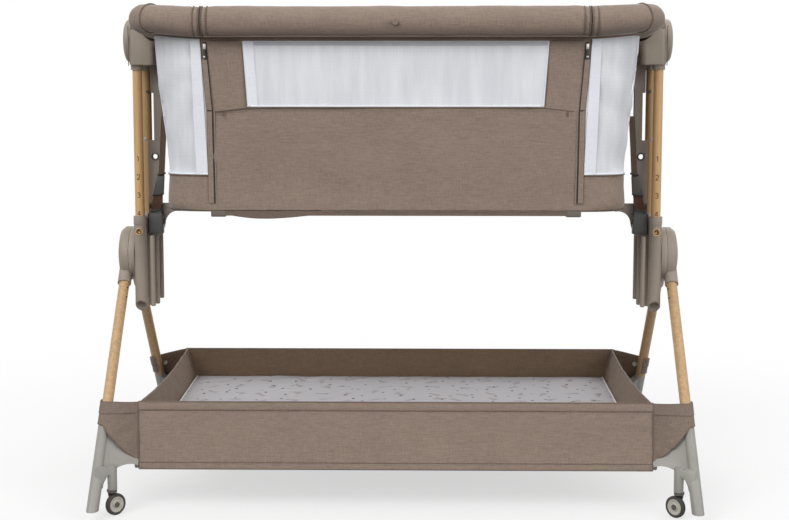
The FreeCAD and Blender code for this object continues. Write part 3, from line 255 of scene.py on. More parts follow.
def block(name: str, low: Sequence[float], high: Sequence[float]) -> Piece:
    """Adds a block between two corners.

    Args:
        name: The piece's name.
        low: Lowest corner.
        high: Highest corner.

    Returns:
        The new piece.
    """
    middle = [(a + b) / 2 * MM for a, b in zip(low, high)]
    bpy.ops.object.select_all(action="DESELECT")
    bpy.ops.mesh.primitive_cube_add(size=1, location=middle)
    piece = named(name)
    piece.scale = [(b - a) * MM for a, b in zip(low, high)]
    bpy.context.view_layer.update()
    return settle(piece)


def rod(name: str, radius: float, start: Sequence[float], end: Sequence[float],
        sides: int = 32, top: float | None = None) -> Piece:
    """Adds a round rod or a cone between two points.

    Args:
        name: The piece's name.
        radius: Radius at the start.
        start: Middle of the first end.
        end: Middle of the other end.
        sides: Faces round the rod.
        top: Radius at the other end, if it differs.

    Returns:
        The new piece.
    """
    first, last = Vector(start) * MM, Vector(end) * MM
    axis = last - first
    bpy.ops.object.select_all(action="DESELECT")
    bpy.ops.mesh.primitive_cone_add(vertices=sides, radius1=radius * MM,
                                    radius2=(radius if top is None else top) * MM,
                                    depth=axis.length, location=(first + last) / 2,
                                    rotation=axis.to_track_quat("Z", "Y").to_euler())
    piece = named(name)
    bpy.context.view_layer.update()
    return settle(piece)


def apply_modifier(piece: Piece, kind: str, **settings: object) -> None:
    """Adds a modifier with its settings and applies it."""
    only(piece)
    modifier = piece.modifiers.new(kind.title(), kind)
    for key, value in settings.items():
        setattr(modifier, key, value)
    bpy.ops.object.modifier_apply(modifier=modifier.name)


def soften(piece: Piece, width: float, segments: int = 2, angle: float = 30.0) -> None:
    """Rounds a piece's sharp edges and shades it smooth."""
    apply_modifier(piece, "BEVEL", width=width * MM, segments=segments, limit_method="ANGLE",
                   angle_limit=math.radians(angle), use_clamp_overlap=True)
    smooth(piece)


def smooth(piece: Piece, angle: float = SMOOTH_ANGLE) -> None:
    """Shades a piece smooth but for its sharp edges."""
    only(piece)
    bpy.ops.object.shade_smooth_by_angle(angle=angle)


def mould(piece: Piece, shape: Callable[[Vector], Vector]) -> None:
    """Moves every vertex of a piece by a function of its place in millimetres."""
    for vertex in piece.data.vertices:
        vertex.co = shape(vertex.co / MM) * MM
    piece.data.update()


def outward(piece: Piece) -> None:
    """Merges a piece's doubles and turns its faces outwards."""
    with editing(piece):
        bpy.ops.mesh.select_all(action="SELECT")
        bpy.ops.mesh.remove_doubles(threshold=0.01 * MM)
        bpy.ops.mesh.normals_make_consistent(inside=False)


def joined(name: str, pieces: Sequence[Piece]) -> Piece:
    """Joins pieces into one mesh."""
    bpy.ops.object.select_all(action="DESELECT")
    for piece in pieces:
        piece.select_set(True)
    bpy.context.view_layer.objects.active = pieces[0]
    if len(pieces) > 1:
        bpy.ops.object.join()
    return named(name)


def copied(piece: Piece, name: str) -> Piece:
    """Copies a piece with its own mesh, riding on nothing."""
    twin = piece.copy()
    twin.data = piece.data.copy()
    twin.parent = None
    twin.matrix_world = Matrix.Identity(4)
    for key in [k for k in twin.keys() if k.startswith("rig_")]:
        del twin[key]
    bpy.context.collection.objects.link(twin)
    twin.name = name
    twin.data.name = name
    return twin


def tube(name: str, points: Sequence[Point], radius: float, sides: int = 8,
         closed: bool = False) -> Piece:
    """Makes a thin round tube through points, such as a piping or a seam's thread.

    Args:
        name: The piece's name.
        points: What the tube runs through.
        radius: The tube's radius.
        sides: Faces round the tube.
        closed: Whether the last point joins the first.

    Returns:
        The tube as a mesh.
    """
    line = bpy.data.curves.new(name, "CURVE")
    line.dimensions = "3D"
    line.bevel_depth = radius * MM
    line.bevel_resolution = max(0, sides // 2 - 2)
    line.use_fill_caps = True
    spline = line.splines.new("POLY")
    spline.points.add(len(points) - 1)
    for spot, place in zip(spline.points, points):
        spot.co = (*(c * MM for c in place), 1.0)
    spline.use_cyclic_u = closed
    holder = bpy.data.objects.new(name, line)
    bpy.context.collection.objects.link(holder)
    only(holder)
    bpy.ops.object.convert(target="MESH")
    piece = named(name)
    smooth(piece)
    return piece


def stitches(name: str, points: Sequence[Point], pitch: float = 4.2, length: float = 2.8,
             radius: float = 0.45) -> Piece:
    """Lays a row of thread stitches along a line.

    Args:
        name: The piece's name.
        points: The line.
        pitch: Distance from one stitch to the next.
        length: Length of a stitch.
        radius: Half the thread's thickness.

    Returns:
        The whole row as one mesh.
    """
    bpy.ops.object.select_all(action="DESELECT")
    bpy.ops.mesh.primitive_uv_sphere_add(segments=6, ring_count=4, radius=radius * MM)
    seed = bpy.context.active_object
    mesh = bmesh.new()
    carried = pitch / 2
    for first, last in zip(points, points[1:]):
        a, b = Vector(first), Vector(last)
        span = (b - a).length
        while carried < span:
            place = a.lerp(b, carried / span) * MM
            turn = (b - a).to_track_quat("Z", "Y").to_matrix().to_4x4()
            stretch = Matrix.Diagonal((1, 1, length / (2 * radius), 1))
            start = len(mesh.verts)
            mesh.from_mesh(seed.data)
            mesh.verts.ensure_lookup_table()
            for vertex in mesh.verts[start:]:
                vertex.co = Matrix.Translation(place) @ turn @ stretch @ vertex.co
            carried += pitch
        carried -= span
    bpy.data.objects.remove(seed)
    data = bpy.data.meshes.new(name)
    mesh.to_mesh(data)
    mesh.free()
    piece = bpy.data.objects.new(name, data)
    bpy.context.collection.objects.link(piece)
    smooth(piece, math.pi)
    return piece


def inflate(piece: Piece, voxel: float, cap: float, pressure: float = 4.0, frames: int = 20) -> None:
    """Blows a padded piece up by a short cloth simulation, as its filling does, and applies the result.

    Args:
        piece: A closed form, a little smaller than the finished pad.
        voxel: Size of the remeshed faces.
        cap: The farthest a point may move.
        pressure: Pressure inside the cover.
        frames: Length of the simulation.
    """
    apply_modifier(piece, "REMESH", mode="VOXEL", voxel_size=voxel * MM)
    start = [vertex.co.copy() for vertex in piece.data.vertices]
    cover = piece.modifiers.new("Cloth", "CLOTH")
    cover.settings.quality = 4
    cover.settings.use_pressure = True
    cover.settings.uniform_pressure_force = pressure
    cover.settings.effector_weights.gravity = 0.0
    scene = bpy.context.scene
    for frame in range(1, frames + 1):
        scene.frame_set(frame)
    blown = piece.evaluated_get(bpy.context.evaluated_depsgraph_get())
    ends = [vertex.co.copy() for vertex in blown.data.vertices]
    piece.modifiers.remove(cover)
    scene.frame_set(1)
    for vertex, first, last in zip(piece.data.vertices, start, ends):
        move = last - first
        if move.length > cap * MM:
            move *= cap * MM / move.length
        vertex.co = first + move
    apply_modifier(piece, "SUBSURF", levels=1)
    LOG.info("%s blown up, %d vertices", piece.name, len(piece.data.vertices))


def ripple(place: Vector, grain: Sequence[float], seed: float = 0.0) -> float:
    """Smooth noise from about -1 to 1, the same at every run, with its own wavelength along each axis."""
    return noise.noise(Vector([place[i] / grain[i] + seed for i in range(3)]))


# ---- Finishes ---------------------------------------------------------------------------------
def add_node(tree: Tree, kind: str, inputs: dict | None = None,
             **settings: object) -> Node:
    """Adds a shader node with its settings, and sets or links its sockets.

    Args:
        tree: The material's tree.
        kind: The node's type.
        inputs: Socket name or number, and a value or an output to link.
        **settings: The node's own properties.

    Returns:
        The node.
    """
    made = tree.nodes.new(kind)
    for key, value in settings.items():
        setattr(made, key, value)
    for key, value in (inputs or {}).items():
        if isinstance(value, Socket):
            tree.links.new(value, made.inputs[key])
        else:
            made.inputs[key].default_value = value
    return made


@dataclass(frozen=True)
class Finish:
    """A finish with one colour that varies a little; every other finish builds on it."""

    name: str
    colour: str
    roughness: float = 0.6
    metallic: float = 0.0
    sheen: float = 0.0
    coat: float = 0.0
    sheen_roughness: float = 0.5

    def material(self) -> bpy.types.Material:
        """Returns the finish's material, made once."""
        ready = bpy.data.materials.get(self.name)
        if ready:
            return ready
        made = bpy.data.materials.new(self.name)
        made.use_nodes = True
        tree = made.node_tree
        shader = tree.nodes["Principled BSDF"]
        shader.inputs["Roughness"].default_value = self.roughness
        shader.inputs["Metallic"].default_value = self.metallic
        shader.inputs["Sheen Weight"].default_value = self.sheen
        shader.inputs["Sheen Roughness"].default_value = self.sheen_roughness
        shader.inputs["Coat Weight"].default_value = self.coat
        coords = add_node(tree, "ShaderNodeTexCoord").outputs["Object"]
        self.paint(tree, shader, coords)
        return made

    def dress(self, piece: Piece) -> None:
        """Gives a piece this finish all over."""
        piece.data.materials.clear()
        piece.data.materials.append(self.material())

    def grain(self, tree: Tree, coords: Socket, size: Sequence[float],
              detail: float = 2.0, turn: float = 0.0) -> Socket:
        """Noise with its own grain size along each axis, in millimetres.

        Args:
            tree: The material's tree.
            coords: Where the noise is read.
            size: Grain size along X, Y and Z.
            detail: Octaves of finer noise.
            turn: Turn of the pattern about X, in degrees.

        Returns:
            The noise value, from 0 to 1.
        """
        spin = add_node(tree, "ShaderNodeMapping", {"Vector": coords, "Rotation": (math.radians(turn), 0, 0)},
                        vector_type="POINT")
        scaled = add_node(tree, "ShaderNodeMapping",
                          {"Vector": spin.outputs[0], "Scale": [1 / (s * MM) for s in size]})
        made = add_node(tree, "ShaderNodeTexNoise",
                        {"Vector": scaled.outputs[0], "Scale": 1.0, "Detail": detail, "Roughness": 0.55})
        return made.outputs["Fac"]

    def ramp(self, tree: Tree, value: Socket, low: float, high: float,
             first: Sequence[float], last: Sequence[float]) -> Socket:
        """Colour that runs from one to another as a value goes from low to high."""
        made = add_node(tree, "ShaderNodeValToRGB", {"Fac": value})
        made.color_ramp.elements[0].position = low
        made.color_ramp.elements[1].position = high
        made.color_ramp.elements[0].color = first
        made.color_ramp.elements[1].color = last
        return made.outputs["Color"]

    def mixed(self, tree: Tree, share: object, first: object, last: object,
              blend: str = "MIX") -> Socket:
        """Mixes two colours by a share."""
        made = add_node(tree, "ShaderNodeMix", {0: share, 6: first, 7: last}, data_type="RGBA",
                        blend_type=blend)
        return made.outputs[2]

    def figure(self, tree: Tree, work: str, first: object, last: object = 0.0) -> Socket:
        """The outcome of one sum, such as ADD or SINE, of one or two values."""
        return add_node(tree, "ShaderNodeMath", {0: first, 1: last}, operation=work).outputs[0]

    def bump(self, tree: Tree, shader: Node, height: Socket,
             depth: float) -> None:
        """Links a height to the shader as bump, with its depth in millimetres."""
        made = add_node(tree, "ShaderNodeBump", {"Strength": 1.0, "Distance": depth * MM, "Height": height})
        tree.links.new(made.outputs[0], shader.inputs["Normal"])

    def shade(self, factor: float) -> tuple[float, float, float, float]:
        """The finish's colour made lighter or darker."""
        r, g, b, _ = linear(self.colour)
        return min(r * factor, 1), min(g * factor, 1), min(b * factor, 1), 1.0

    def paint(self, tree: Tree, shader: Node, coords: Socket) -> None:
        """Colours the shader: here a fine mottling and a light pebble in the surface."""
        cloud = self.grain(tree, coords, (34, 34, 34), 3)
        colour = self.ramp(tree, cloud, 0.3, 0.7, self.shade(0.93), self.shade(1.06))
        tree.links.new(colour, shader.inputs["Base Color"])
        self.bump(tree, shader, self.grain(tree, coords, (1.3, 1.3, 1.3), 1), 0.06)


@dataclass(frozen=True)
class WovenCloth(Finish):
    """Melange polyester canvas, plain-woven: light and dark yarns give a speckled, streaky taupe."""

    yarn: float = 1.5
    contrast: float = 0.16
    depth: float = 0.28

    def paint(self, tree: Tree, shader: Node, coords: Socket) -> None:
        """Crossed yarn streaks, slubs and a broad fade; the yarn is drawn twice its thickness, to show."""
        y = self.yarn
        weft = self.grain(tree, coords, (y * 7, y, y), 1)
        warp = self.grain(tree, coords, (y, y * 6, y * 6), 1)
        slub = self.grain(tree, coords, (y * 16, y * 1.6, y * 1.6), 2)
        fade = self.grain(tree, coords, (90, 90, 90), 2)
        yarns = self.figure(tree, "ADD", weft, warp)
        both = self.figure(tree, "MULTIPLY", self.figure(tree, "ADD", yarns, slub), 0.3334)
        dark, light = self.shade(1 - self.contrast), self.shade(1 + self.contrast)
        colour = self.ramp(tree, both, 0.36, 0.64, dark, light)
        faded = self.ramp(tree, fade, 0.3, 0.7, (0.93, 0.93, 0.93, 1), (1.0, 1.0, 1.0, 1))
        tree.links.new(self.mixed(tree, 1.0, colour, faded, "MULTIPLY"), shader.inputs["Base Color"])
        self.bump(tree, shader, yarns, self.depth)


@dataclass(frozen=True)
class Netting(Finish):
    """Warp-knit polyester netting: dense white yarn round small holes, so what is behind shows palely."""

    hole: float = 2.2
    cover: float = 0.84
    yarn_cover: float = 0.94

    def paint(self, tree: Tree, shader: Node, coords: Socket) -> None:
        """Cells 2.2 mm wide, coarser than the real ones so that they show, laid round the tub and up it."""
        axes = add_node(tree, "ShaderNodeSeparateXYZ", {"Vector": coords})
        round_it = self.figure(tree, "ADD", self.figure(tree, "ABSOLUTE", axes.outputs[0]), axes.outputs[1])
        laid = add_node(tree, "ShaderNodeCombineXYZ", {0: round_it, 1: axes.outputs[2]})
        scaled = add_node(tree, "ShaderNodeMapping",
                          {"Vector": laid.outputs[0], "Scale": [1 / (self.hole * MM)] * 3})
        cells = add_node(tree, "ShaderNodeTexVoronoi",
                         {"Vector": scaled.outputs[0], "Scale": 1.0, "Randomness": 0.3},
                         feature="DISTANCE_TO_EDGE", voronoi_dimensions="2D")
        cloud = self.grain(tree, coords, (16, 16, 120), 2)
        yarn = self.ramp(tree, cells.outputs["Distance"], 0.06, 0.36, (self.yarn_cover,) * 3 + (1,),
                         (self.cover,) * 3 + (1,))
        tree.links.new(yarn, shader.inputs["Alpha"])
        knit = self.ramp(tree, cells.outputs["Distance"], 0.0, 0.4, self.shade(1.02), self.shade(0.95))
        # Darker streaks down the netting's folds: painted shade.
        fold = self.ramp(tree, cloud, 0.32, 0.68, (0.88, 0.89, 0.90, 1), (1, 1, 1, 1))
        tree.links.new(self.mixed(tree, 1.0, knit, fold, "MULTIPLY"), shader.inputs["Base Color"])
        self.bump(tree, shader, yarn, 0.08)


@dataclass(frozen=True)
class SawnWood(Finish):
    """Steamed beech rod under a satin lacquer: warm honey with fine darker flecks along the grain."""

    grain_way: Grain = Grain.UPRIGHT

    def paint(self, tree: Tree, shader: Node, coords: Socket) -> None:
        """Growth bands 5 mm wide and flecks 0.7 by 9 mm, along the piece."""
        turn = self.grain_way.value
        bands = self.grain(tree, coords, (5, 5, 190), 2, turn)
        fleck = self.grain(tree, coords, (0.9, 0.9, 22), 1, turn)
        broad = self.ramp(tree, bands, 0.32, 0.68, self.shade(0.84), self.shade(1.1))
        fine = self.ramp(tree, fleck, 0.2, 0.5, (0.80, 0.75, 0.68, 1), (1, 1, 1, 1))
        tree.links.new(self.mixed(tree, 0.6, broad, fine, "MULTIPLY"), shader.inputs["Base Color"])
        self.bump(tree, shader, fleck, 0.05)


@dataclass(frozen=True)
class LeafPrint(Finish):
    """Soft cotton lining with scattered sprigs and dots, printed in warm greys."""

    ink: str = "#9b908d"
    dark_ink: str = "#5c5350"
    pitch: float = 50.0

    def paint(self, tree: Tree, shader: Node, coords: Socket) -> None:
        """Sprigs about 24 mm long in cells 50 mm wide, with pairs of small dots between them."""
        scale = (1 / (self.pitch * MM), 1 / (self.pitch * MM * 1.15), 0.0)
        flat = add_node(tree, "ShaderNodeMapping", {"Vector": coords, "Scale": scale})
        cells = add_node(tree, "ShaderNodeTexVoronoi",
                         {"Vector": flat.outputs[0], "Scale": 1.0, "Randomness": 0.5},
                         voronoi_dimensions="2D")
        away = add_node(tree, "ShaderNodeVectorMath", {0: flat.outputs[0], 1: cells.outputs["Position"]},
                        operation="SUBTRACT")
        spin = add_node(tree, "ShaderNodeSeparateColor", {"Color": cells.outputs["Color"]})
        angle = self.figure(tree, "MULTIPLY", spin.outputs[0], 6.28)
        turned = add_node(tree, "ShaderNodeVectorRotate", {"Vector": away.outputs[0], "Angle": angle},
                          rotation_type="Z_AXIS")
        axes = add_node(tree, "ShaderNodeSeparateXYZ", {"Vector": turned.outputs[0]})
        along, across = axes.outputs[0], self.figure(tree, "ABSOLUTE", axes.outputs[1])
        # A sprig: a stalk with five pairs of leaflets that come and go along it and taper to its tip.
        reach = self.figure(tree, "LESS_THAN", self.figure(tree, "ABSOLUTE", along), 0.24)
        wave = self.figure(tree, "SINE", self.figure(tree, "MULTIPLY", along, 33.0))
        wave = self.figure(tree, "ABSOLUTE", wave)
        taper = self.figure(tree, "SUBTRACT", 0.105, self.figure(tree, "MULTIPLY", along, 0.22))
        width = self.figure(tree, "ADD", self.figure(tree, "MULTIPLY", wave, taper), 0.010)
        leaf = self.figure(tree, "MULTIPLY", self.figure(tree, "LESS_THAN", across, width), reach)
        dots = add_node(tree, "ShaderNodeTexVoronoi",
                        {"Vector": flat.outputs[0], "Scale": 1.35, "Randomness": 0.9},
                        voronoi_dimensions="2D")
        spot = self.figure(tree, "LESS_THAN", dots.outputs["Distance"], 0.075)
        cloth = self.ramp(tree, self.grain(tree, coords, (1.2, 1.2, 1.2), 1), 0.3, 0.7,
                          self.shade(0.95), self.shade(1.03))
        leafy = self.mixed(tree, self.figure(tree, "MULTIPLY", leaf, 0.75), cloth, linear(self.ink))
        dotted = self.mixed(tree, self.figure(tree, "MULTIPLY", spot, 0.8), leafy, linear(self.dark_ink))
        tree.links.new(dotted, shader.inputs["Base Color"])
        self.bump(tree, shader, self.grain(tree, coords, (1.5, 1.5, 1.5), 1), 0.15)


@dataclass(frozen=True)
class Ribbed(Finish):
    """Woven polypropylene tape: cross ribs close together, with a dull shine."""

    rib: float = 1.6
    wave_scale: float = 0.999493

    def paint(self, tree: Tree, shader: Node, coords: Socket) -> None:
        """Ribs across the tape, a little uneven."""
        scaled = add_node(tree, "ShaderNodeMapping", {"Vector": coords, "Scale": [1 / (self.rib * MM)] * 3})
        waves = add_node(tree, "ShaderNodeTexWave",
                         {"Vector": scaled.outputs[0], "Scale": self.wave_scale, "Distortion": 0.6},
                         bands_direction="Z")
        colour = self.ramp(tree, waves.outputs["Fac"], 0.1, 0.9, self.shade(0.72), self.shade(1.1))
        tree.links.new(colour, shader.inputs["Base Color"])
        self.bump(tree, shader, waves.outputs["Fac"], 0.35)


# Melange polyester canvas over foam: brown-taupe, dry and speckled, with a soft edge light. Its darker copies
# are painted shade: under the crib and in folds (also the seams' dark lines), inside the tray, and on its
# wraps and ends.
CANVAS = WovenCloth("melange_canvas_woven", "#928073", 0.92, sheen=0.22)
CANVAS_SEAMS_AND_SHADE = WovenCloth("melange_canvas_underside", "#75655a", 0.94, sheen=0.15)
CANVAS_BACK_PAINTED_SHADE = WovenCloth("melange_canvas_back", "#76624f", 0.95, sheen=0.1)
CANVAS_WRAP_PAINTED_SHADE = WovenCloth("melange_canvas_bias_cut", "#7f6f63", 0.93, sheen=0.18)
# Smooth pale polyester behind the canvas, which brightens the tub's inside.
LINING = WovenCloth("polyester_lining_plain", "#e4e0dc", 0.9, yarn=1.2, contrast=0.04, depth=0.12)
# Warp-knit netting and the pale tapes that bind it.
NET = Netting("polyester_netting_warp_knit", "#f5f6fa", 0.85)
NET_EDGE = WovenCloth("binding_tape_white", "#f1f3fa", 0.8, yarn=1.1, contrast=0.04, depth=0.15)
NET_SEAM = WovenCloth("binding_tape_grey_white", "#c9cbd3", 0.85, yarn=1.1, contrast=0.06, depth=0.15)
# Beech under a satin lacquer, a tone for each place in the light: front posts and legs lit, rear ones in
# painted shade.
BEECH_POST = SawnWood("beech_lacquered_upright", "#dcb27c", 0.42, coat=0.12)
BEECH_POST_REAR_PAINTED_SHADE = SawnWood("beech_lacquered_upright_rear", "#ad8a5c", 0.45, coat=0.08)
BEECH_FRONT = SawnWood("beech_lacquered_front_leg", "#c9a67c", 0.42, coat=0.12, grain_way=Grain.FRONT_LEG)
BEECH_REAR_LEG_PAINTED_SHADE = SawnWood("beech_lacquered_rear_leg", "#b48f62", 0.45, coat=0.1, grain_way=Grain.REAR_LEG)
# Moulded polypropylene in warm greys: fine spark-eroded texture, no gloss, softened edges.
HOUSING = Finish("polypropylene_taupe_moulded", "#a19587", 0.55)
PLATE = Finish("polypropylene_grey_brown_moulded", "#958b82", 0.58)
# Darker taupe for buttons and tabs, also painted shade along the top housing's groove.
HOUSING_DARK_AND_GROOVE_SHADE = Finish("polypropylene_taupe_recess", "#6b6259", 0.6)
FOOT = Finish("polypropylene_grey_moulded", "#9c9993", 0.52)
# Hard-wearing small parts: acetal buckles, rubber tyres, nylon wheel discs and forks.
BUCKLE = Finish("acetal_buckle_dark", "#474744", 0.42)
RUBBER = Finish("rubber_tyre_moulded", "#45433e", 0.8)
WHEEL = Finish("nylon_wheel_moulded", "#c4c0b7", 0.45)
FORK = Finish("nylon_fork_dark", "#54514b", 0.5)
# Powder-coated steel bar: even light grey with a slight orange peel.
BAR = Finish("steel_bar_powder_coated", "#bdbab4", 0.4)
# Bare metal: zinc-plated rail tubes, turned pins, plated zip sliders.
TUBE = Finish("steel_tube_zinc_plated", "#9a9a98", 0.38, metallic=1.0)
PIN = Finish("steel_pin_turned", "#8c8c8a", 0.3, metallic=1.0)
SLIDER = Finish("zinc_slider_plated", "#b4b2ad", 0.28, metallic=1.0)
# Enamelled caps of the press studs.
STUD = Finish("snap_cap_enamelled", "#7d6d61", 0.35, coat=0.3)
STUD_PALE = Finish("snap_cap_pale", "#b9b2a8", 0.35, coat=0.3)
# Zips: brown-black woven tape, black nylon teeth and pull.
TAPE = WovenCloth("zip_tape_brown_black", "#4a4039", 0.85, yarn=1.0, contrast=0.1, depth=0.12)
TEETH = Finish("nylon_coil_zip_black", "#2c2a28", 0.5)
PULL = Finish("zip_pull_black", "#26231f", 0.4)
# Webbing of the tether straps.
STRAP = Ribbed("webbing_polypropylene_brown", "#6a4a3a", 0.75)
WEBBING = Ribbed("webbing_polypropylene_taupe", "#83715f", 0.75)
# Bedding and small goods: knitted mattress cover, printed cotton, board, sewing thread, printed figures.
QUILT = WovenCloth("mattress_cover_knit", "#e9e6e1", 0.9, yarn=1.3, contrast=0.04, depth=0.18)
# The lining's ground is greyed for the shade inside the tray: painted shade.
PRINT_IN_PAINTED_SHADE = LeafPrint("cotton_lining_sprigs", "#bab7bb", 0.92)
BOARD = Finish("hardboard_brown", "#86684a", 0.75)
THREAD = Finish("polyester_thread_taupe", "#9c8b7d", 0.8)
INK = Finish("screen_print_brown", "#5b3f22", 0.7)


# ---- Sub-assemblies ---------------------------------------------------------------------------
@dataclass
class Assembly:
    """What every sub-assembly shares: the frame, and how its pieces are mounted on it."""

    frame: dict

    def mount(self, piece: Piece, body: str, slot: str, finish: Finish | None = None,
              stands_for: Sequence[str] = ()) -> Piece:
        """Dresses a piece and lets it ride on a body.

        Args:
            piece: The finished piece.
            body: The CAD body it moves with.
            slot: The record's material slot; not used.
            finish: What it is dressed in, unless it is dressed already.
            stands_for: CAD nodes it replaces.

        Returns:
            The piece.
        """
        if finish:
            finish.dress(piece)
        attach(piece, body)
        if stands_for:
            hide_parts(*stands_for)
        LOG.info("%s rides on %s, %d faces", piece.name, body, len(piece.data.polygons))
        return piece

    def sew(self, name: str, points: Sequence[Point], radius: float, body: str, finish: Finish = CANVAS_SEAMS_AND_SHADE,
            slot: str = "melange_fabric", closed: bool = False, sides: int = 8) -> None:
        """Mounts a thin round line, such as a piping, a seam or a printed stroke.

        Args:
            name: The line's name.
            points: What it runs through.
            radius: Its radius.
            body: What it moves with.
            finish: What it is dressed in.
            slot: The record's slot.
            closed: Whether the last point joins the first.
            sides: Faces round it.
        """
        self.mount(tube(name, points, radius, sides, closed), body, slot, finish)

    def body_of(self, node: str) -> str:
        """The body that a CAD node rides on."""
        return self.frame["nodes"][node]["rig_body"]

    def slot_of(self, node: str) -> str:
        """The material slot of a CAD node."""
        return next(p["material_slot"] for p in self.frame["record"]["subparts"] if p["node"] == node)

    def refine(self, node: str, finish: Finish, width: float = 0.8, segments: int = 2) -> Piece:
        """Replaces a rigid node by a copy with softened edges.

        Args:
            node: The CAD node.
            finish: What it is dressed in.
            width: Width of the rounding.
            segments: Faces across the rounding.

        Returns:
            The moulded copy.
        """
        piece = copied(self.frame["nodes"][node], f"{node}_finished")
        with editing(piece):
            bpy.ops.mesh.select_all(action="SELECT")
            bpy.ops.mesh.remove_doubles(threshold=0.004 * MM)
            bpy.ops.mesh.dissolve_limited(angle_limit=math.radians(0.5))
        soften(piece, width, segments)
        return self.mount(piece, self.body_of(node), self.slot_of(node), finish, [node])

    def laid(self, name: str, columns: int, rows: int, place: Callable[[float, float], Vector], thick: float,
             outer: Finish, inner: Finish | None = None) -> Piece:
        """Lays a sheet of cloth on a surface and gives it a thickness behind its face.

        Args:
            name: The sheet's name.
            columns: Faces along the sheet.
            rows: Faces across it.
            place: Point of the face from the two shares, in millimetres.
            thick: The cloth's thickness.
            outer: What the face is dressed in.
            inner: What the back is dressed in, if it differs.

        Returns:
            The sheet, dressed and riding on nothing.
        """
        bpy.ops.object.select_all(action="DESELECT")
        bpy.ops.mesh.primitive_grid_add(x_subdivisions=columns, y_subdivisions=rows, size=2)
        piece = named(name)
        for vertex in piece.data.vertices:
            vertex.co = place((vertex.co.x + 1) / 2, (vertex.co.y + 1) / 2) * MM
        piece.data.update()
        outer.dress(piece)
        if inner:
            piece.data.materials.append(inner.material())
        apply_modifier(piece, "SOLIDIFY", thickness=thick * MM, offset=-1.0, use_even_offset=False,
                       material_offset=1 if inner else 0)
        smooth(piece, math.radians(50))
        return piece

    def keep(self, node: str, finish: Finish) -> None:
        """Keeps a CAD node as it is, with a better finish."""
        finish.dress(self.frame["nodes"][node])


@dataclass
class Stand(Assembly):
    """Column housings, folding hubs, beech legs, moulded feet and cross bars."""

    screw_heights: tuple[tuple[str, float], ...] = (("high", 328.0), ("low", 314.0))
    screw_radius: float = 1.7
    screw_inset: float = 7.4
    screw_offset: float = 5.4

    def build(self) -> None:
        """Builds both ends of the stand."""
        for end in ("left", "right"):
            self.refine(f"column_housing_{end}", HOUSING, 0.9)
            self.refine(f"front_hub_{end}", HOUSING, 1.4, 3)
            self.refine(f"rear_hub_{end}", HOUSING, 1.2, 2)
            self.refine(f"fold_button_{end}", HOUSING_DARK_AND_GROOVE_SHADE, 0.8)
            self.refine(f"height_button_{end}", HOUSING_DARK_AND_GROOVE_SHADE, 0.6)
            for side in ("front", "rear"):
                self.refine(f"{side}_foot_{end}", FOOT, 1.2)
        self.keep("front_legs", BEECH_FRONT)
        # The rear legs take a darker beech: painted shade.
        self.keep("rear_legs", BEECH_REAR_LEG_PAINTED_SHADE)
        self.keep("hub_pins", PIN)
        for side in ("front", "rear"):
            self.refine(f"{side}_cross_bar", BAR, 0.6)
        self.leg_screws()

    def leg_screws(self) -> None:
        """Two sunk screws in each leg below its hub, on the side that faces the other end."""
        for side in Side:
            for end in End:
                for place, z in self.screw_heights:
                    spot = Vector((end.value * (side.leg_x - self.screw_inset),
                                   side.value * (leg_y(z) + self.screw_offset), z))
                    out = Vector((-end.value * 1.2, side.value, 0.0))
                    screw = rod(f"leg_screw_{place}_{side.tag}_{end.tag}", self.screw_radius,
                                spot - out * 0.8, spot + out * 0.5, 16)
                    soften(screw, 0.3)
                    self.mount(screw, side.stand, "steel_pin", TEETH)


@dataclass
class Castors(Assembly):
    """Four small swivel castors."""

    def build(self) -> None:
        """Finishes forks, tyres and discs."""
        for side in ("front", "rear"):
            for end in ("left", "right"):
                self.refine(f"{side}_castor_fork_{end}", FORK, 0.5)
                self.refine(f"{side}_tyre_{end}", RUBBER, 0.5)
                self.refine(f"{side}_wheel_disc_{end}", WHEEL, 0.3)


@dataclass
class TubShape:
    """Sizes of the bassinet's fabric tub, and where its surface is at a height."""

    foot: float = 470.0
    top: float = 744.33
    foot_half_length: float = 370.0
    top_half_length: float = 390.0
    foot_half_width: float = 195.0
    top_half_width: float = 205.0
    foot_corner: float = 45.0
    top_corner: float = 64.0
    drop_foot: float = 477.6
    drop_half_top: float = 297.0
    drop_half_waist: float = 288.2
    drop_half_foot: float = 287.2
    waist: float = 630.0

    def rise(self, z: float) -> float:
        """How far up the tub a height is, from 0 to 1."""
        return (z - self.foot) / (self.top - self.foot)

    def half_length(self, z: float) -> float:
        """Half the tub's length at a height."""
        return self.foot_half_length + self.rise(z) * (self.top_half_length - self.foot_half_length)

    def half_width(self, z: float) -> float:
        """Half the tub's width at a height."""
        return self.foot_half_width + self.rise(z) * (self.top_half_width - self.foot_half_width)

    def corner(self, z: float) -> float:
        """The tub's corner radius at a height."""
        return self.foot_corner + self.rise(z) * (self.top_corner - self.foot_corner)

    def drop_half(self, z: float) -> float:
        """Half the width of the drop-down front at a height."""
        if z > self.waist:
            share = (z - self.waist) / (self.top - self.waist)
            return self.drop_half_waist + share * (self.drop_half_top - self.drop_half_waist)
        share = (z - self.foot) / (self.waist - self.foot)
        return self.drop_half_foot + share * (self.drop_half_waist - self.drop_half_foot)

    def fitted(self, place: Vector) -> Vector:
        """Moves a point of an upright wall with the foot's outline onto the tub's tapering surface."""
        flat_x = self.foot_half_length - self.foot_corner
        flat_y = self.foot_half_width - self.foot_corner
        inner = inner_point(place, flat_x, flat_y)
        out = place - inner
        corner = self.corner(place.z)
        x = inner.x * (self.half_length(place.z) - corner) / flat_x
        y = inner.y * (self.half_width(place.z) - corner) / flat_y
        reach = out.length / self.foot_corner
        if out.length > 1e-6:
            out.normalize()
        return Vector((x, y, place.z)) + out * corner * reach


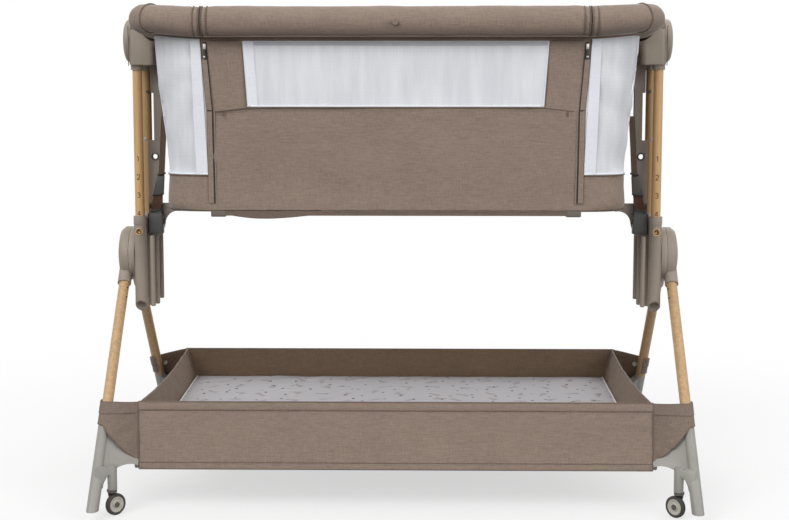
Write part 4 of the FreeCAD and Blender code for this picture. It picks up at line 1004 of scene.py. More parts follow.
@dataclass
class Rails(Assembly):
    """Padded rail round the bassinet's top, with the drop side's own padded rail."""

    half_length: float = 401.0
    half_width: float = 215.0
    height: float = 768.0
    radius: float = 25.4
    slack: float = 1.4
    corner: float = 50.0
    drop_half: float = 302.0
    gap: float = 0.3
    around: int = 28
    unfilled: float = 0.8
    voxel: float = 5.0
    swell: float = 2.2

    def build(self) -> None:
        """Builds both padded covers, their seams and the stud."""
        self.keep("rail_tube", TUBE)
        self.keep("drop_rail_tube", TUBE)
        covers = ((self.ring(), "rail_cover", "bassinet"), (self.straight(), "drop_rail_cover", "drop_side"))
        for piece, node, body in covers:
            self.mount(piece, body, "melange_fabric", CANVAS, [node])
        self.trim()
        self.refine("rail_stud", STUD, 0.4)

    @property
    def flat_x(self) -> float:
        """Half the length of the straight run between the corners of a long side."""
        return self.half_length - self.corner

    @property
    def flat_y(self) -> float:
        """Half the length of the straight run between the corners of an end."""
        return self.half_width - self.corner

    @property
    def empty_radius(self) -> float:
        """Radius before the simulation fills the cover, or the full one where it is skipped."""
        return self.radius - self.unfilled

    def plump(self, place: Vector, axis: Vector, seams: Sequence[float], along: float) -> Vector:
        """Point of a cover's surface, swelling between seams and wrinkled a little.

        Args:
            place: The point on a true round tube.
            axis: The nearest point of the tube's middle line.
            seams: Distances along the tube where a seam draws the padding in.
            along: The point's own distance along the tube.

        Returns:
            The point moved in or out.
        """
        out = place - axis
        near = min(abs(along - s) for s in seams)
        pinch = 1.5 * math.exp(-(near / 3.2) ** 2)
        gather = 0.8 * math.exp(-near / 30.0) * ripple(place, (9, 9, 40), 3.0)
        sway = 0.9 * ripple(place, (70, 45, 45)) + 0.5 * ripple(place, (26, 22, 22), 7.0)
        under = 1.2 * max(0.0, -out.normalized().z - 0.72)
        lift = 5.0 * (max(0.0, abs(axis.x) - 300) / 100) ** 2 * clamp(-axis.y / 200)
        out = out.normalized() * (out.length - self.slack * 0.4 - pinch + gather + sway - under)
        if out.z < 0:
            out.z *= self.flatter(axis)
        return axis + out + Vector((0, 0, lift))

    def flatter(self, axis: Vector) -> float:
        """How much of its depth the cover's underside keeps, least at the front corners."""
        return 1.0 - 0.22 * corner_share(axis)

    def ring(self) -> Piece:
        """The fixed cover: a circle extruded along the sides and spun round the corners."""
        edge = self.drop_half + self.gap
        start, y, z = edge * MM, -self.half_width * MM, self.height * MM
        bpy.ops.object.select_all(action="DESELECT")
        bpy.ops.mesh.primitive_circle_add(vertices=self.around, radius=self.empty_radius * MM,
                                          fill_type="NOTHING", location=(start, y, z),
                                          rotation=(0, math.radians(90), 0))
        piece = named("rail_cover_padded")
        bpy.context.view_layer.update()
        settle(piece)
        flat_x, flat_y = self.flat_x * MM, self.flat_y * MM
        quarter = math.radians(-90)
        with editing(piece):
            bpy.ops.mesh.select_mode(type="EDGE")
            bpy.ops.mesh.select_all(action="SELECT")
            self.run((flat_x - start, 0, 0), 4)
            bpy.ops.mesh.spin(steps=14, angle=quarter, center=(flat_x, -flat_y, z), axis=(0, 0, 1))
            self.run((0, 2 * flat_y, 0), 34)
            bpy.ops.mesh.spin(steps=14, angle=quarter, center=(flat_x, flat_y, z), axis=(0, 0, 1))
            self.run((-flat_x, 0, 0), 40)
        apply_modifier(piece, "MIRROR", use_axis=(True, False, False), use_clip=True, merge_threshold=0.0002)
        with editing(piece):
            for sign in (1, -1):
                pick("EDGE", lambda p, n, s=sign: abs(p.x - s * edge) < 0.2 and p.y < 0)
                bpy.ops.mesh.fill()
                bpy.ops.mesh.inset(thickness=3 * MM, depth=0)
                bpy.ops.mesh.inset(thickness=6 * MM, depth=0)
        outward(piece)
        inflate(piece, self.voxel, self.swell)
        mould(piece, self.ring_point)

        def clear(p: Vector) -> Vector:
            """Keeps the front's cut ends clear of the drop side's cover."""
            return Vector((math.copysign(max(edge, abs(p.x)), p.x) if p.y < 0 else p.x, p.y, p.z))

        mould(piece, clear)
        smooth(piece, math.radians(60))
        return piece

    def run(self, travel: Point, steps: int) -> None:
        """Extrudes the selected ring of edges in equal steps, in metres."""
        for _ in range(steps):
            bpy.ops.mesh.extrude_edges_move(TRANSFORM_OT_translate={"value": [t / steps for t in travel]})

    def middle(self, place: Vector) -> Vector:
        """The nearest point of the ring's middle line."""
        inner = inner_point(place, self.flat_x, self.flat_y)
        out = place - inner
        inner.z = self.height
        if abs(place.x) <= self.flat_x:
            return Vector((place.x, math.copysign(self.half_width, place.y), self.height))
        if abs(place.y) <= self.flat_y:
            return Vector((math.copysign(self.half_length, place.x), place.y, self.height))
        return inner + out.normalized() * self.corner

    def ring_point(self, place: Vector) -> Vector:
        """Plumps a point of the fixed cover."""
        axis = self.middle(place)
        if (place - axis).length < self.radius * 0.9:
            return place
        flat_x, flat_y = self.flat_x, self.flat_y
        turn = self.corner * math.pi / 2
        if abs(axis.x) <= flat_x:
            along = flat_x - abs(axis.x) + turn + flat_y
        elif abs(axis.y) <= flat_y:
            along = abs(axis.y)
        else:
            along = flat_y + math.atan2(abs(axis.y) - flat_y, abs(axis.x) - flat_x) * self.corner
        end = flat_x - self.drop_half + turn + flat_y
        seams = [flat_y + 8.0, end - 1.0, end - 11.0] if axis.y < 0 else [flat_y + 8.0, end + 250.0]
        return self.plump(place, axis, seams, along)

    def straight(self) -> Piece:
        """The drop side's cover, a cylinder cut into rings and plumped between its seams."""
        end = self.drop_half - self.gap
        piece = rod("drop_rail_cover_padded", self.empty_radius, (-end, -self.half_width, self.height),
                    (end, -self.half_width, self.height), self.around)
        with editing(piece):
            for step in range(1, 80):
                bpy.ops.mesh.select_all(action="SELECT")
                bpy.ops.mesh.bisect(plane_co=((-end + step * end / 40) * MM, 0, 0), plane_no=(1, 0, 0))
            pick("FACE", lambda p, n: abs(n.x) > 0.9)
            bpy.ops.mesh.inset(thickness=3 * MM, depth=0)
            bpy.ops.mesh.inset(thickness=6 * MM, depth=0)
        seams = [-end + 1.0, end - 1.0, -end + 10.0, end - 10.0]

        def shape(place: Vector) -> Vector:
            """Plumps a point of the straight cover."""
            axis = Vector((place.x, -self.half_width, self.height))
            if (place - axis).length < self.radius * 0.9:
                return place
            return self.plump(place, axis, seams, place.x)

        inflate(piece, self.voxel, self.swell)
        mould(piece, shape)
        mould(piece, lambda p: Vector((max(-end, min(end, p.x)), p.y, p.z)))
        smooth(piece, math.radians(60))
        return piece

    def trim(self) -> None:
        """Piped seams round the covers, the seam along the drop rail's underside and the corners' piping."""
        for name, past, body in (("ring_end", 11.0, "bassinet"), ("ring_edge", 1.6, "bassinet"),
                                 ("drop_end", -10.0, "drop_side"), ("drop_edge", -1.6, "drop_side")):
            for end in End:
                centre = (end.value * (self.drop_half + past), -self.half_width, self.height)
                loop = circle(centre, self.radius - 2.2, (0, 1, 0), 40)
                self.sew(f"seam_{name}_{end.tag}", loop, 0.9, body, closed=True)
        low = math.radians(248)
        y = -self.half_width + self.radius * math.cos(low)
        z = self.height + self.radius * math.sin(low)
        self.sew("seam_drop_rail_foot", [(x, y, z) for x in range(-296, 297, 8)], 1.1, "drop_side")
        for end in End:
            self.end_piping(end)

    def end_piping(self, end: End) -> None:
        """Piping round the cover where the front corner meets the end rail."""
        turn = math.radians(52)
        out = Vector((end.value * math.cos(turn), -math.sin(turn), 0))
        centre = Vector((end.value * self.flat_x, -self.flat_y, self.height + 3.4)) + out * self.corner
        flat = self.flatter(centre)
        loop = [(x, y, centre.z + (z - centre.z) * (flat if z < centre.z else 1.0))
                for x, y, z in circle(centre, self.radius - 1.0, out, 40)]
        self.sew(f"rail_piping_{end.tag}", loop, 1.2, "bassinet", closed=True)


@dataclass
class Tub(Assembly):
    """The bassinet's fabric: shell, drop-down front, windows of netting, board and mattress."""

    shape: TubShape = field(default_factory=TubShape)
    window_half: float = 240.0
    window_foot: float = 635.6
    window_margin: float = 6.0
    corner_foot: float = 529.0
    corner_margin: float = 9.0
    corner_back: float = 75.0
    cloth: float = 2.6
    net: float = 0.8
    rows: int = 22
    tuck_height: float = 548.0
    facing_width: float = 15.0

    @property
    def window_half_foot(self) -> float:
        """Half a long window's length at its foot."""
        s = self.shape
        return self.window_half * s.drop_half(self.window_foot) / s.drop_half(s.top)

    def build(self) -> None:
        """Builds the tub from one wall, cut into its panels, then the bedding."""
        wall = self.wall()
        panels = self.cut(wall)
        for name, piece in panels.items():
            self.finish_panel(name, piece)
        self.seams()
        self.keep("base_board", BOARD)
        self.mattress()

    def wall(self) -> Piece:
        """The whole wall and floor, upright: a plane with rounded corners, extruded upwards."""
        s = self.shape
        bpy.ops.object.select_all(action="DESELECT")
        bpy.ops.mesh.primitive_plane_add(size=1, location=(0, 0, s.foot * MM))
        piece = named("tub_wall")
        piece.scale = (2 * s.foot_half_length * MM, 2 * s.foot_half_width * MM, 1)
        bpy.context.view_layer.update()
        settle(piece)
        with editing(piece):
            bpy.ops.mesh.select_mode(type="VERT")
            bpy.ops.mesh.select_all(action="SELECT")
            bpy.ops.mesh.bevel(offset=s.foot_corner * MM, segments=9, affect="VERTICES")
            bpy.ops.mesh.select_all(action="SELECT")
            bpy.ops.mesh.delete(type="ONLY_FACE")
            for long_x, cuts in ((True, 43), (False, 23)):
                pick("EDGE", lambda p, n, k=long_x: (abs(n.x) if k else abs(n.y)) > 0.1)
                bpy.ops.mesh.subdivide(number_cuts=cuts)
            step = (s.top - s.foot) / self.rows * MM
            bpy.ops.mesh.select_mode(type="EDGE")
            bpy.ops.mesh.select_all(action="SELECT")
            for _ in range(self.rows):
                bpy.ops.mesh.extrude_edges_move(TRANSFORM_OT_translate={"value": (0, 0, step)})
            pick("VERT", lambda p, n: p.z < s.foot + 0.1)
            bpy.ops.mesh.edge_face_add()
            for axis, spots in ((0, range(-300, 301, 60)), (1, range(-150, 151, 50))):
                for spot in spots:
                    pick("FACE", lambda p, n: abs(n.z) > 0.5)
                    bpy.ops.mesh.bisect(plane_co=[spot * MM if i == axis else 0 for i in range(3)],
                                        plane_no=[1 if i == axis else 0 for i in range(3)])
        return piece

    def cut(self, wall: Piece) -> dict[str, Piece]:
        """Bisects the wall along every seam and separates its panels.

        Args:
            wall: The whole wall.

        Returns:
            Panels by name.
        """
        s = self.shape
        window_top = s.top - self.window_margin
        net_top = s.top - self.window_margin / 2
        half_low = self.window_half_foot

        def bisect(where: Callable[[Vector, Vector], bool], spot: Point, normal: Point) -> None:
            """Cuts the chosen faces by a plane, whose normal the operator needs one unit long."""
            if pick("FACE", where):
                bpy.ops.mesh.bisect(plane_co=[c * MM for c in spot], plane_no=Vector(normal).normalized())

        def slanted(sign: int, low: tuple[float, float], high: tuple[float, float], front: bool) -> None:
            """Cuts a long side, between two heights, by a plane through two points of X and Z."""

            def beside(p: Vector, n: Vector) -> bool:
                """Whether a face is on that side and half of the tub and between the heights."""
                across = p.y < -180 if front else p.y > 180
                return across and sign * p.x > 150 and low[1] < p.z < high[1]

            bisect(beside, (sign * low[0], 0, low[1]), (high[1] - low[1], 0, -sign * (high[0] - low[0])))

        with editing(wall):
            for height in (self.window_foot, self.corner_foot, window_top, net_top, s.drop_foot, s.waist):
                bisect(lambda p, n: True, (0, 0, height), (0, 0, 1))
            for sign in (1, -1):
                for low, high in ((s.foot - 1, s.waist), (s.waist, s.top + 1)):
                    for margin in (0.0, self.corner_margin):
                        start, end = s.drop_half(low + 0.01) + margin, s.drop_half(high - 0.01) + margin
                        slanted(sign, (start, low), (end, high), True)
                for front in (True, False):
                    slanted(sign, (half_low, self.window_foot), (self.window_half, s.top + 1), front)
            bisect(lambda p, n: abs(p.x) > 300 and p.y < 0, (0, -self.corner_back, 0), (0, 1, 0))
        window_slope = (self.window_half - half_low) / (s.top - self.window_foot)

        def window(p: Vector) -> bool:
            """Whether a place is in a long window."""
            reach = half_low + (p.z - self.window_foot) * window_slope
            return abs(p.x) < reach and self.window_foot < p.z < window_top and abs(p.y) > 150

        def corner(p: Vector) -> bool:
            """Whether a place is in a corner's netting."""
            inside = abs(p.x) > s.drop_half(p.z) + self.corner_margin and p.y < -self.corner_back
            return inside and self.corner_foot < p.z < net_top

        def drop(p: Vector) -> bool:
            """Whether a place is on the drop-down front."""
            return abs(p.x) < s.drop_half(p.z) and p.y < -150 and p.z > s.drop_foot

        tests = {
            "drop_window_net": lambda p, n: window(p) and p.y < 0,
            "back_window_net": lambda p, n: window(p) and p.y > 0,
            "corner_net": lambda p, n: corner(p),
            "drop_panel_cloth": lambda p, n: drop(p),
        }
        panels = {}
        for name, test in tests.items():
            before = set(bpy.data.objects)
            with editing(wall):
                pick("FACE", test)
                bpy.ops.mesh.separate(type="SELECTED")
            piece = (set(bpy.data.objects) - before).pop()
            piece.name = piece.data.name = name
            panels[name] = piece
        wall.name = wall.data.name = "tub_shell_cloth"
        panels["tub_shell_cloth"] = wall
        return panels

    def finish_panel(self, name: str, piece: Piece) -> None:
        """Fits a panel to the tub, wrinkles it, gives it a thickness and mounts it."""
        s = self.shape
        mould(piece, s.fitted)
        outward(piece)
        nets = name.endswith("net")
        mould(piece, self.slack_net if nets else self.slack_cloth)
        mould(piece, self.raised)
        (NET if nets else CANVAS).dress(piece)
        if not nets:
            piece.data.materials.append(LINING.material())
        apply_modifier(piece, "SOLIDIFY", thickness=(self.net if nets else self.cloth) * MM, offset=-1.0,
                       use_even_offset=False, material_offset=0 if nets else 1)
        smooth(piece, math.radians(50))
        facts = {
            "tub_shell_cloth": ("bassinet", "tub_shell", (2.21, 0.66), "melange_fabric", 0.60),
            "drop_panel_cloth": ("drop_side", "drop_panel", (0.594, 0.267), "melange_fabric", 0.106),
            "drop_window_net": ("drop_side", "drop_window", (0.480, 0.103), "white_mesh", None),
            "back_window_net": ("bassinet", "back_mesh", (0.480, 0.103), "white_mesh", None),
            "corner_net": ("bassinet", "corner_meshes", (0.400, 0.200), "white_mesh", None),
        }
        body, node, flat, slot, area = facts[name]
        self.mount(piece, body, slot, None, [node])
        LOG.info("%s area %.4f m2", name, sum(p.area for p in piece.data.polygons) / 2)

    def slack_cloth(self, p: Vector) -> Vector:
        """A cloth panel's slack, with the tub's drawn-in corners."""
        return p + self.inward(p) * (self.wave(p) + self.drawn(p))

    def wave(self, p: Vector) -> float:
        """Long soft waves and a few slanting creases of the cloth, drawn flat at its edges."""
        s = self.shape
        if p.z < s.foot + 2:
            return 0.0
        hold = clamp(min((p.z - s.foot) / 30, (s.top - p.z) / 25))
        wave = 1.7 * ripple(p, (120, 120, 60)) + 0.8 * ripple(p, (45, 45, 28), 5.0)
        lean = Vector((p.x + 0.9 * p.z, p.y, p.z - 0.5 * p.x))
        crease = 0.8 * ripple(lean, (60, 60, 11), 9.0) * clamp((600 - p.z) / 60)
        return (0.8 + wave + crease) * hold + self.pull_crease(p)

    def pull_crease(self, p: Vector) -> float:
        """The one sharp crease that runs up from the front's left foot, as a distance inwards."""
        if p.y >= -180 or p.x >= -225:
            return 0.0
        first, last = Vector((-286, 0, 556)), Vector((-262, 0, 578))
        spot = Vector((p.x, 0, p.z))
        share = clamp((spot - first).dot(last - first) / (last - first).length_squared)
        away = (spot - first.lerp(last, share)).length
        return -2.4 * math.exp(-(away / 5.5) ** 2) * (1 - 0.7 * share)

    def raised(self, p: Vector) -> Vector:
        """Lifts the tub's head at the front corners, up to the rail's thinner underside."""
        return Vector((p.x, p.y, p.z + 9.0 * corner_share(p) * clamp((p.z - 690) / 54)))

    def drawn(self, p: Vector) -> float:
        """How far the tub's corners are drawn in, most where the netting meets the band below it."""
        beside = clamp((abs(p.x) - self.shape.drop_half(p.z) - self.corner_margin - 4) / 45)
        beside = beside * beside * (3 - 2 * beside)
        front = clamp((20 - p.y) / 120)
        tuck = 6.5 * max(0.0, 1 - (p.z - self.shape.foot) / 15) ** 2
        spread = 52 if p.z < self.tuck_height else 120
        band = math.exp(-((p.z - self.tuck_height) / spread) ** 2)
        return beside * (8.6 * band * (0.35 + 0.65 * front) + tuck)

    def slack_net(self, p: Vector) -> Vector:
        """Netting's slack: folds that run down from the rail and fan out, sewn to the cloth at its edges."""
        s = self.shape
        hold = clamp((s.top - p.z) / 30)
        if abs(p.x) > 260:
            spread = 1.0 + 0.9 * (s.top - p.z) / 200
            fold = 4.2 * ripple(Vector((p.x / spread, p.y / spread, p.z)), (22, 26, 260), 2.0)
            fold += 1.5 * ripple(p, (50, 50, 70), 6.0)
            if p.y < -150:
                hold *= clamp((abs(p.x) - s.drop_half(p.z) - self.corner_margin) / 16)
            hold *= clamp(min((p.z - self.corner_foot) / 12, (-p.y - self.corner_back) / 20))
        else:
            fold = 0.7 * ripple(p, (90, 90, 60)) - 0.5
            hold *= clamp(min((p.z - self.window_foot) / 12, (self.window_half - 6 - abs(p.x)) / 12))
        return p + self.inward(p) * ((1.2 + fold) * hold + self.wave(p) * (1 - hold) + self.drawn(p))

    def inward(self, p: Vector) -> Vector:
        """Level direction from the tub's wall towards its inside."""
        s = self.shape
        corner = s.corner(p.z)
        out = p - inner_point(p, s.half_length(p.z) - corner, s.half_width(p.z) - corner)
        return -out.normalized() if out.length > 1e-6 else Vector((0, 0, 0))

    def face(self, x: float, z: float, out: float, back: bool = False) -> Vector:
        """Point on the tub's long face, a distance out from it."""
        sign = 1 if back else -1
        return Vector((x, sign * (self.shape.half_width(z) + out), z))

    def strip(self, name: str, low: Point, high: Point, out: float, thick: float, body: str, finish: Finish,
              slot: str = "melange_fabric", back: bool = False) -> Piece:
        """Sews a flat strip of cloth on one of the tub's long faces.

        Args:
            name: The strip's name.
            low: Its two edges' X and the height of its foot.
            high: The same at its head.
            out: How far its face stands off the tub.
            thick: Its thickness.
            body: What it moves with.
            finish: What it is dressed in.
            slot: The record's slot.
            back: Whether it lies on the tub's back.

        Returns:
            The strip.
        """
        def place(u: float, v: float) -> Vector:
            """Point of the strip from its two shares."""
            ends = [low[i] + v * (high[i] - low[i]) for i in range(3)]
            left, right = sorted(ends[:2], reverse=back)
            return self.face(left + u * (right - left), ends[2], out + 0.15 * math.sin(math.pi * u), back)

        columns = max(2, int(abs(low[1] - low[0]) / 9))
        rows = max(2, int(abs(high[2] - low[2]) / 9))
        return self.mount(self.laid(name, columns, rows, place, thick, finish), body, slot)

    def line(self, name: str, spots: Sequence[tuple[float, float]], out: float, radius: float, body: str,
             finish: Finish = CANVAS_SEAMS_AND_SHADE, back: bool = False, slot: str = "melange_fabric") -> None:
        """Runs a piping or seam through points of X and Z on a long face."""
        self.sew(name, [tuple(self.face(x, z, out, back)) for x, z in spots], radius, body, finish, slot)

    def seams(self) -> None:
        """Binding, flaps, seams and tabs of the windows, the zips, the front and the foot."""
        for end in End:
            self.zip_edge(end)
        for back in (False, True):
            self.window_trim(back)
            self.waist(back)
        self.foot_trim()

    def zip_edge(self, end: End) -> None:
        """The flap beside a zip, the corner netting's binding, and the seams of the panel's own edge."""
        s, k, tag = self.shape, end.value, end.tag
        waist, head = self.window_foot - 6.0, 709.0
        margin, net_foot = self.corner_margin, self.corner_foot

        def edges(z: float, inner: float, outer: float) -> Point:
            """Two distances from the slit at a height, and the height."""
            return k * (s.drop_half(z) + inner), k * (s.drop_half(z) + outer), z

        for label, low, high, out in (("low", s.drop_foot + 6, waist - 1.2, 1.7),
                                      ("high", waist + 1.2, head, 1.6)):
            self.strip(f"zip_flap_{label}_{tag}", edges(low, 1.1, margin), edges(high, 1.1, margin), out, 1.0,
                       "bassinet", CANVAS)
        for name, low, high, beside, out, radius, body, finish in (
                ("zip_flap_seam", net_foot, s.top - 4, margin + 0.2, 0.6, 0.9, "bassinet", CANVAS_SEAMS_AND_SHADE),
                ("panel_edge", s.drop_foot + 4, waist, -2.4, 0.2, 1.2, "drop_side", CANVAS),
                ("panel_dart_17", waist - 9, waist, -17.0, 0.2, 0.55, "drop_side", CANVAS_SEAMS_AND_SHADE),
                ("panel_dart_19", waist - 9, waist, -19.4, 0.2, 0.55, "drop_side", CANVAS_SEAMS_AND_SHADE)):
            spots = [(k * (s.drop_half(z) + beside), z) for z in self.steps(low, high)]
            self.line(f"{name}_{tag}", spots, out, radius, body, finish)
        self.strip(f"net_binding_{tag}", edges(net_foot + 1, margin + 0.5, margin + 19),
                   edges(s.top - 3, margin + 0.5, margin + 16), 0.7, 0.6, "bassinet", NET_EDGE, "white_mesh")
        for label, rise, radius, finish in (("binding", 0.8, 1.3, NET_EDGE),
                                            ("seam", -1.4, 0.8, CANVAS_SEAMS_AND_SHADE)):
            points = [self.around(k, step, net_foot + rise, 0.7) for step in range(41)]
            self.sew(f"net_foot_{label}_{tag}", points, radius, "bassinet", finish, "white_mesh")
        points = [self.around(k, 20 + 0.02 * (s.top - z), z, -0.6) for z in self.steps(net_foot, 738)]
        self.sew(f"net_fold_{tag}", points, 0.9, "bassinet", NET_EDGE, "white_mesh")

    def window_trim(self, back: bool) -> None:
        """Pale binding round a long window, its dark seam, and the wide facing at its left."""
        side, body = ("back", "bassinet") if back else ("front", "drop_side")
        foot, head = self.window_foot, self.shape.top - 7.0
        low, high = self.window_half_foot, self.window_half
        for end in End:
            for name, inner, outer, lift, out, radius, finish, slot in (
                    ("binding", -1.2, -1.4, 0.6, 0.2, 1.2, NET_EDGE, "white_mesh"),
                    ("seam", 1.1, 1.0, 0.0, 0.1, 0.8, CANVAS_SEAMS_AND_SHADE, "melange_fabric")):
                spots = [(end.value * (low + inner), foot + lift), (end.value * (high + outer), head)]
                self.line(f"window_{side}_{name}_{end.tag}", spots, out, radius, body, finish, back, slot)
        spots = [(x, foot + 1.1) for x in range(-228, 229, 12)]
        self.line(f"window_{side}_foot", spots, 0.3, 1.3, body, NET_EDGE, back, "white_mesh")
        width = self.facing_width + 2
        self.strip(f"window_{side}_facing", (2 - low, width - low, foot + 1), (2 - high, width - high, head),
                   0.35, 0.4, body, NET_EDGE, "white_mesh", back)
        self.strip(f"window_{side}_head", (-high, high, head - 6), (-high, high, head), 0.3, 0.3, body,
                   NET_SEAM, "white_mesh", back)

    def waist(self, back: bool) -> None:
        """The seam at the windows' foot, falling towards its ends, with its row of stitches."""
        s = self.shape
        side, body = ("back", "bassinet") if back else ("front", "drop_side")
        reach = int(s.drop_half(self.window_foot)) - 4
        spots = [(x, self.window_foot - 1.6 - max(0.0, abs(x) - 235) * 0.115)
                 for x in range(-reach, reach + 1, 12)]
        self.line(f"waist_seam_{side}", spots, -0.1, 0.9, body, CANVAS_SEAMS_AND_SHADE, back)
        points = [tuple(self.face(x, z - 3.6, 0.0, back)) for x, z in spots]
        self.mount(stitches(f"waist_stitches_{side}", points), body, "melange_fabric", THREAD)
        for end in End:
            places = range(int(self.window_half) + 4, int(s.drop_half(s.top)) - 1, 8)
            spots = [(end.value * x, s.top - 5.5) for x in places]
            self.line(f"head_seam_{side}_{end.tag}", spots, 0.3, 1.0, body, CANVAS_SEAMS_AND_SHADE, back)

    def foot_trim(self) -> None:
        """Piping round the foot, the front's lower hem and the sling under its left, darkened as painted
        shade, and the two tabs.
        """
        s = self.shape
        half = [self.around(1, step, s.foot + 2.2, 0.2, -s.drop_half(s.foot), 0.0) for step in range(-1, 61)]
        ring = half + [(-x, y, z) for x, y, z in reversed(half)]
        self.sew("tub_foot_piping", ring, 1.5, "bassinet", closed=True)
        reach = s.drop_half(s.foot) - 8
        for name, low, high, finish in (("front_skirt", s.foot - 0.5, s.drop_foot - 2.4, CANVAS),
                                        ("front_hem", s.foot - 6.5, s.foot + 0.3, CANVAS_SEAMS_AND_SHADE)):
            self.strip(name, (-reach, reach, low), (-reach, reach, high), 0.3, 1.6, "bassinet", finish)
        start, lowest, length = -276.0, -210.0, 158.0

        def sling(u: float, v: float) -> Vector:
            """Point of the slack underside, hanging below the foot at the front's left."""
            x = start + length * u
            past = (x - lowest) / (start + length - lowest)
            share = (x - start) / (lowest - start) if x < lowest else 1 - past
            drop = 6.8 * math.sin(math.pi / 2 * clamp(share)) ** 1.2
            return Vector((x, -s.foot_half_width - 0.4 + 24 * (1 - v), s.foot - 4.6 - drop * v))

        def skirt(u: float, v: float) -> Vector:
            """Point of the cloth that comes down from the foot's edge to the sling."""
            low = sling(u, 1)
            return Vector((low.x, -s.foot_half_width - 0.6, low.z + v * (s.foot + 3 - low.z)))

        for name, rows, place, thick in (("foot_sling", 4, sling, 1.4), ("foot_sling_skirt", 3, skirt, 1.2)):
            self.mount(self.laid(name, 40, rows, place, thick, CANVAS_SEAMS_AND_SHADE), "bassinet", "melange_fabric")
        for end in End:
            x = end.value * 282.0
            tab = block(f"foot_tab_{end.tag}", (x - 12, -s.foot_half_width - 1.2, s.foot - 7.5),
                        (x + 12, -s.foot_half_width + 9, s.foot + 4.0))
            soften(tab, 2.2, 3)
            mould(tab, lambda p, middle=x: Vector((p.x, p.y, p.z - 0.10 * abs(p.x - middle))))
            self.mount(tab, "bassinet", "buckle_plastic", HOUSING_DARK_AND_GROOVE_SHADE)

    def steps(self, low: float, high: float, step: float = 9.0) -> list[float]:
        """Heights from low to high in even steps."""
        count = max(2, int((high - low) / step))
        return [low + (high - low) * i / count for i in range(count + 1)]

    def around(self, side: int, step: float, z: float, out: float, start: float | None = None,
               back: float | None = None) -> Point:
        """Point on the tub's outline, a step of a fortieth of the way round from beside the zip.

        Args:
            side: Sign of X.
            step: Fortieths of the way.
            z: Height.
            out: Distance out from the outline.
            start: Distance past the zip where the way starts.
            back: How far in front of the middle the way ends; steps past it turn back along the rear.

        Returns:
            The point.
        """
        s = self.shape
        half, width, corner = s.half_length(z), s.half_width(z), s.corner(z)
        first = s.drop_half(z) + (self.corner_margin + 0.6 if start is None else start)
        run, turn = half - corner - first, corner * math.pi / 2
        whole = run + turn + width - corner - (self.corner_back if back is None else back)
        gone, rear = step / 40 * whole, 1.0
        if gone > whole and back is not None:
            gone, rear = 2 * whole - gone, -1.0
        if gone < run:
            x, y = first + gone, -width - out
        elif gone < run + turn:
            a = (gone - run) / corner
            x = half - corner + (corner + out) * math.sin(a)
            y = corner - width - (corner + out) * math.cos(a)
        else:
            x, y = half + out, corner - width + gone - run - turn
        place = Vector((side * x, rear * y, z))
        return tuple(self.raised(place + self.inward(place) * self.drawn(place)))

    def mattress(self) -> None:
        """Mattress: the CAD form made a little smaller, blown up by the simulation, then quilted."""
        piece = copied(self.frame["nodes"]["mattress"], "mattress_cover")
        with editing(piece):
            bpy.ops.mesh.select_all(action="SELECT")
            bpy.ops.mesh.remove_doubles(threshold=0.004 * MM)
        centre = 494.6
        mould(piece, lambda p: Vector((p.x * 0.992, p.y * 0.985, centre + (p.z - centre) * 0.93)))
        soften(piece, 3.0, 3)
        inflate(piece, 8.0, 4.0)

        def quilt(p: Vector) -> Vector:
            """Draws the top in along crossed rows of stitching 70 mm apart, and keeps the pad in its box."""
            if p.z > 505:
                near = min(abs((p.x + p.y) % 70 - 35), abs((p.x - p.y) % 70 - 35))
                p.z -= 2.2 * math.exp(-(near / 5) ** 2)
            return Vector((clamp(p.x, -363, 363), clamp(p.y, -187.8, 187.8), clamp(p.z, 476.9, 512.4)))

        mould(piece, quilt)
        smooth(piece, math.pi)
        self.mount(piece, "bassinet", "mattress_fabric", QUILT, ["mattress"])


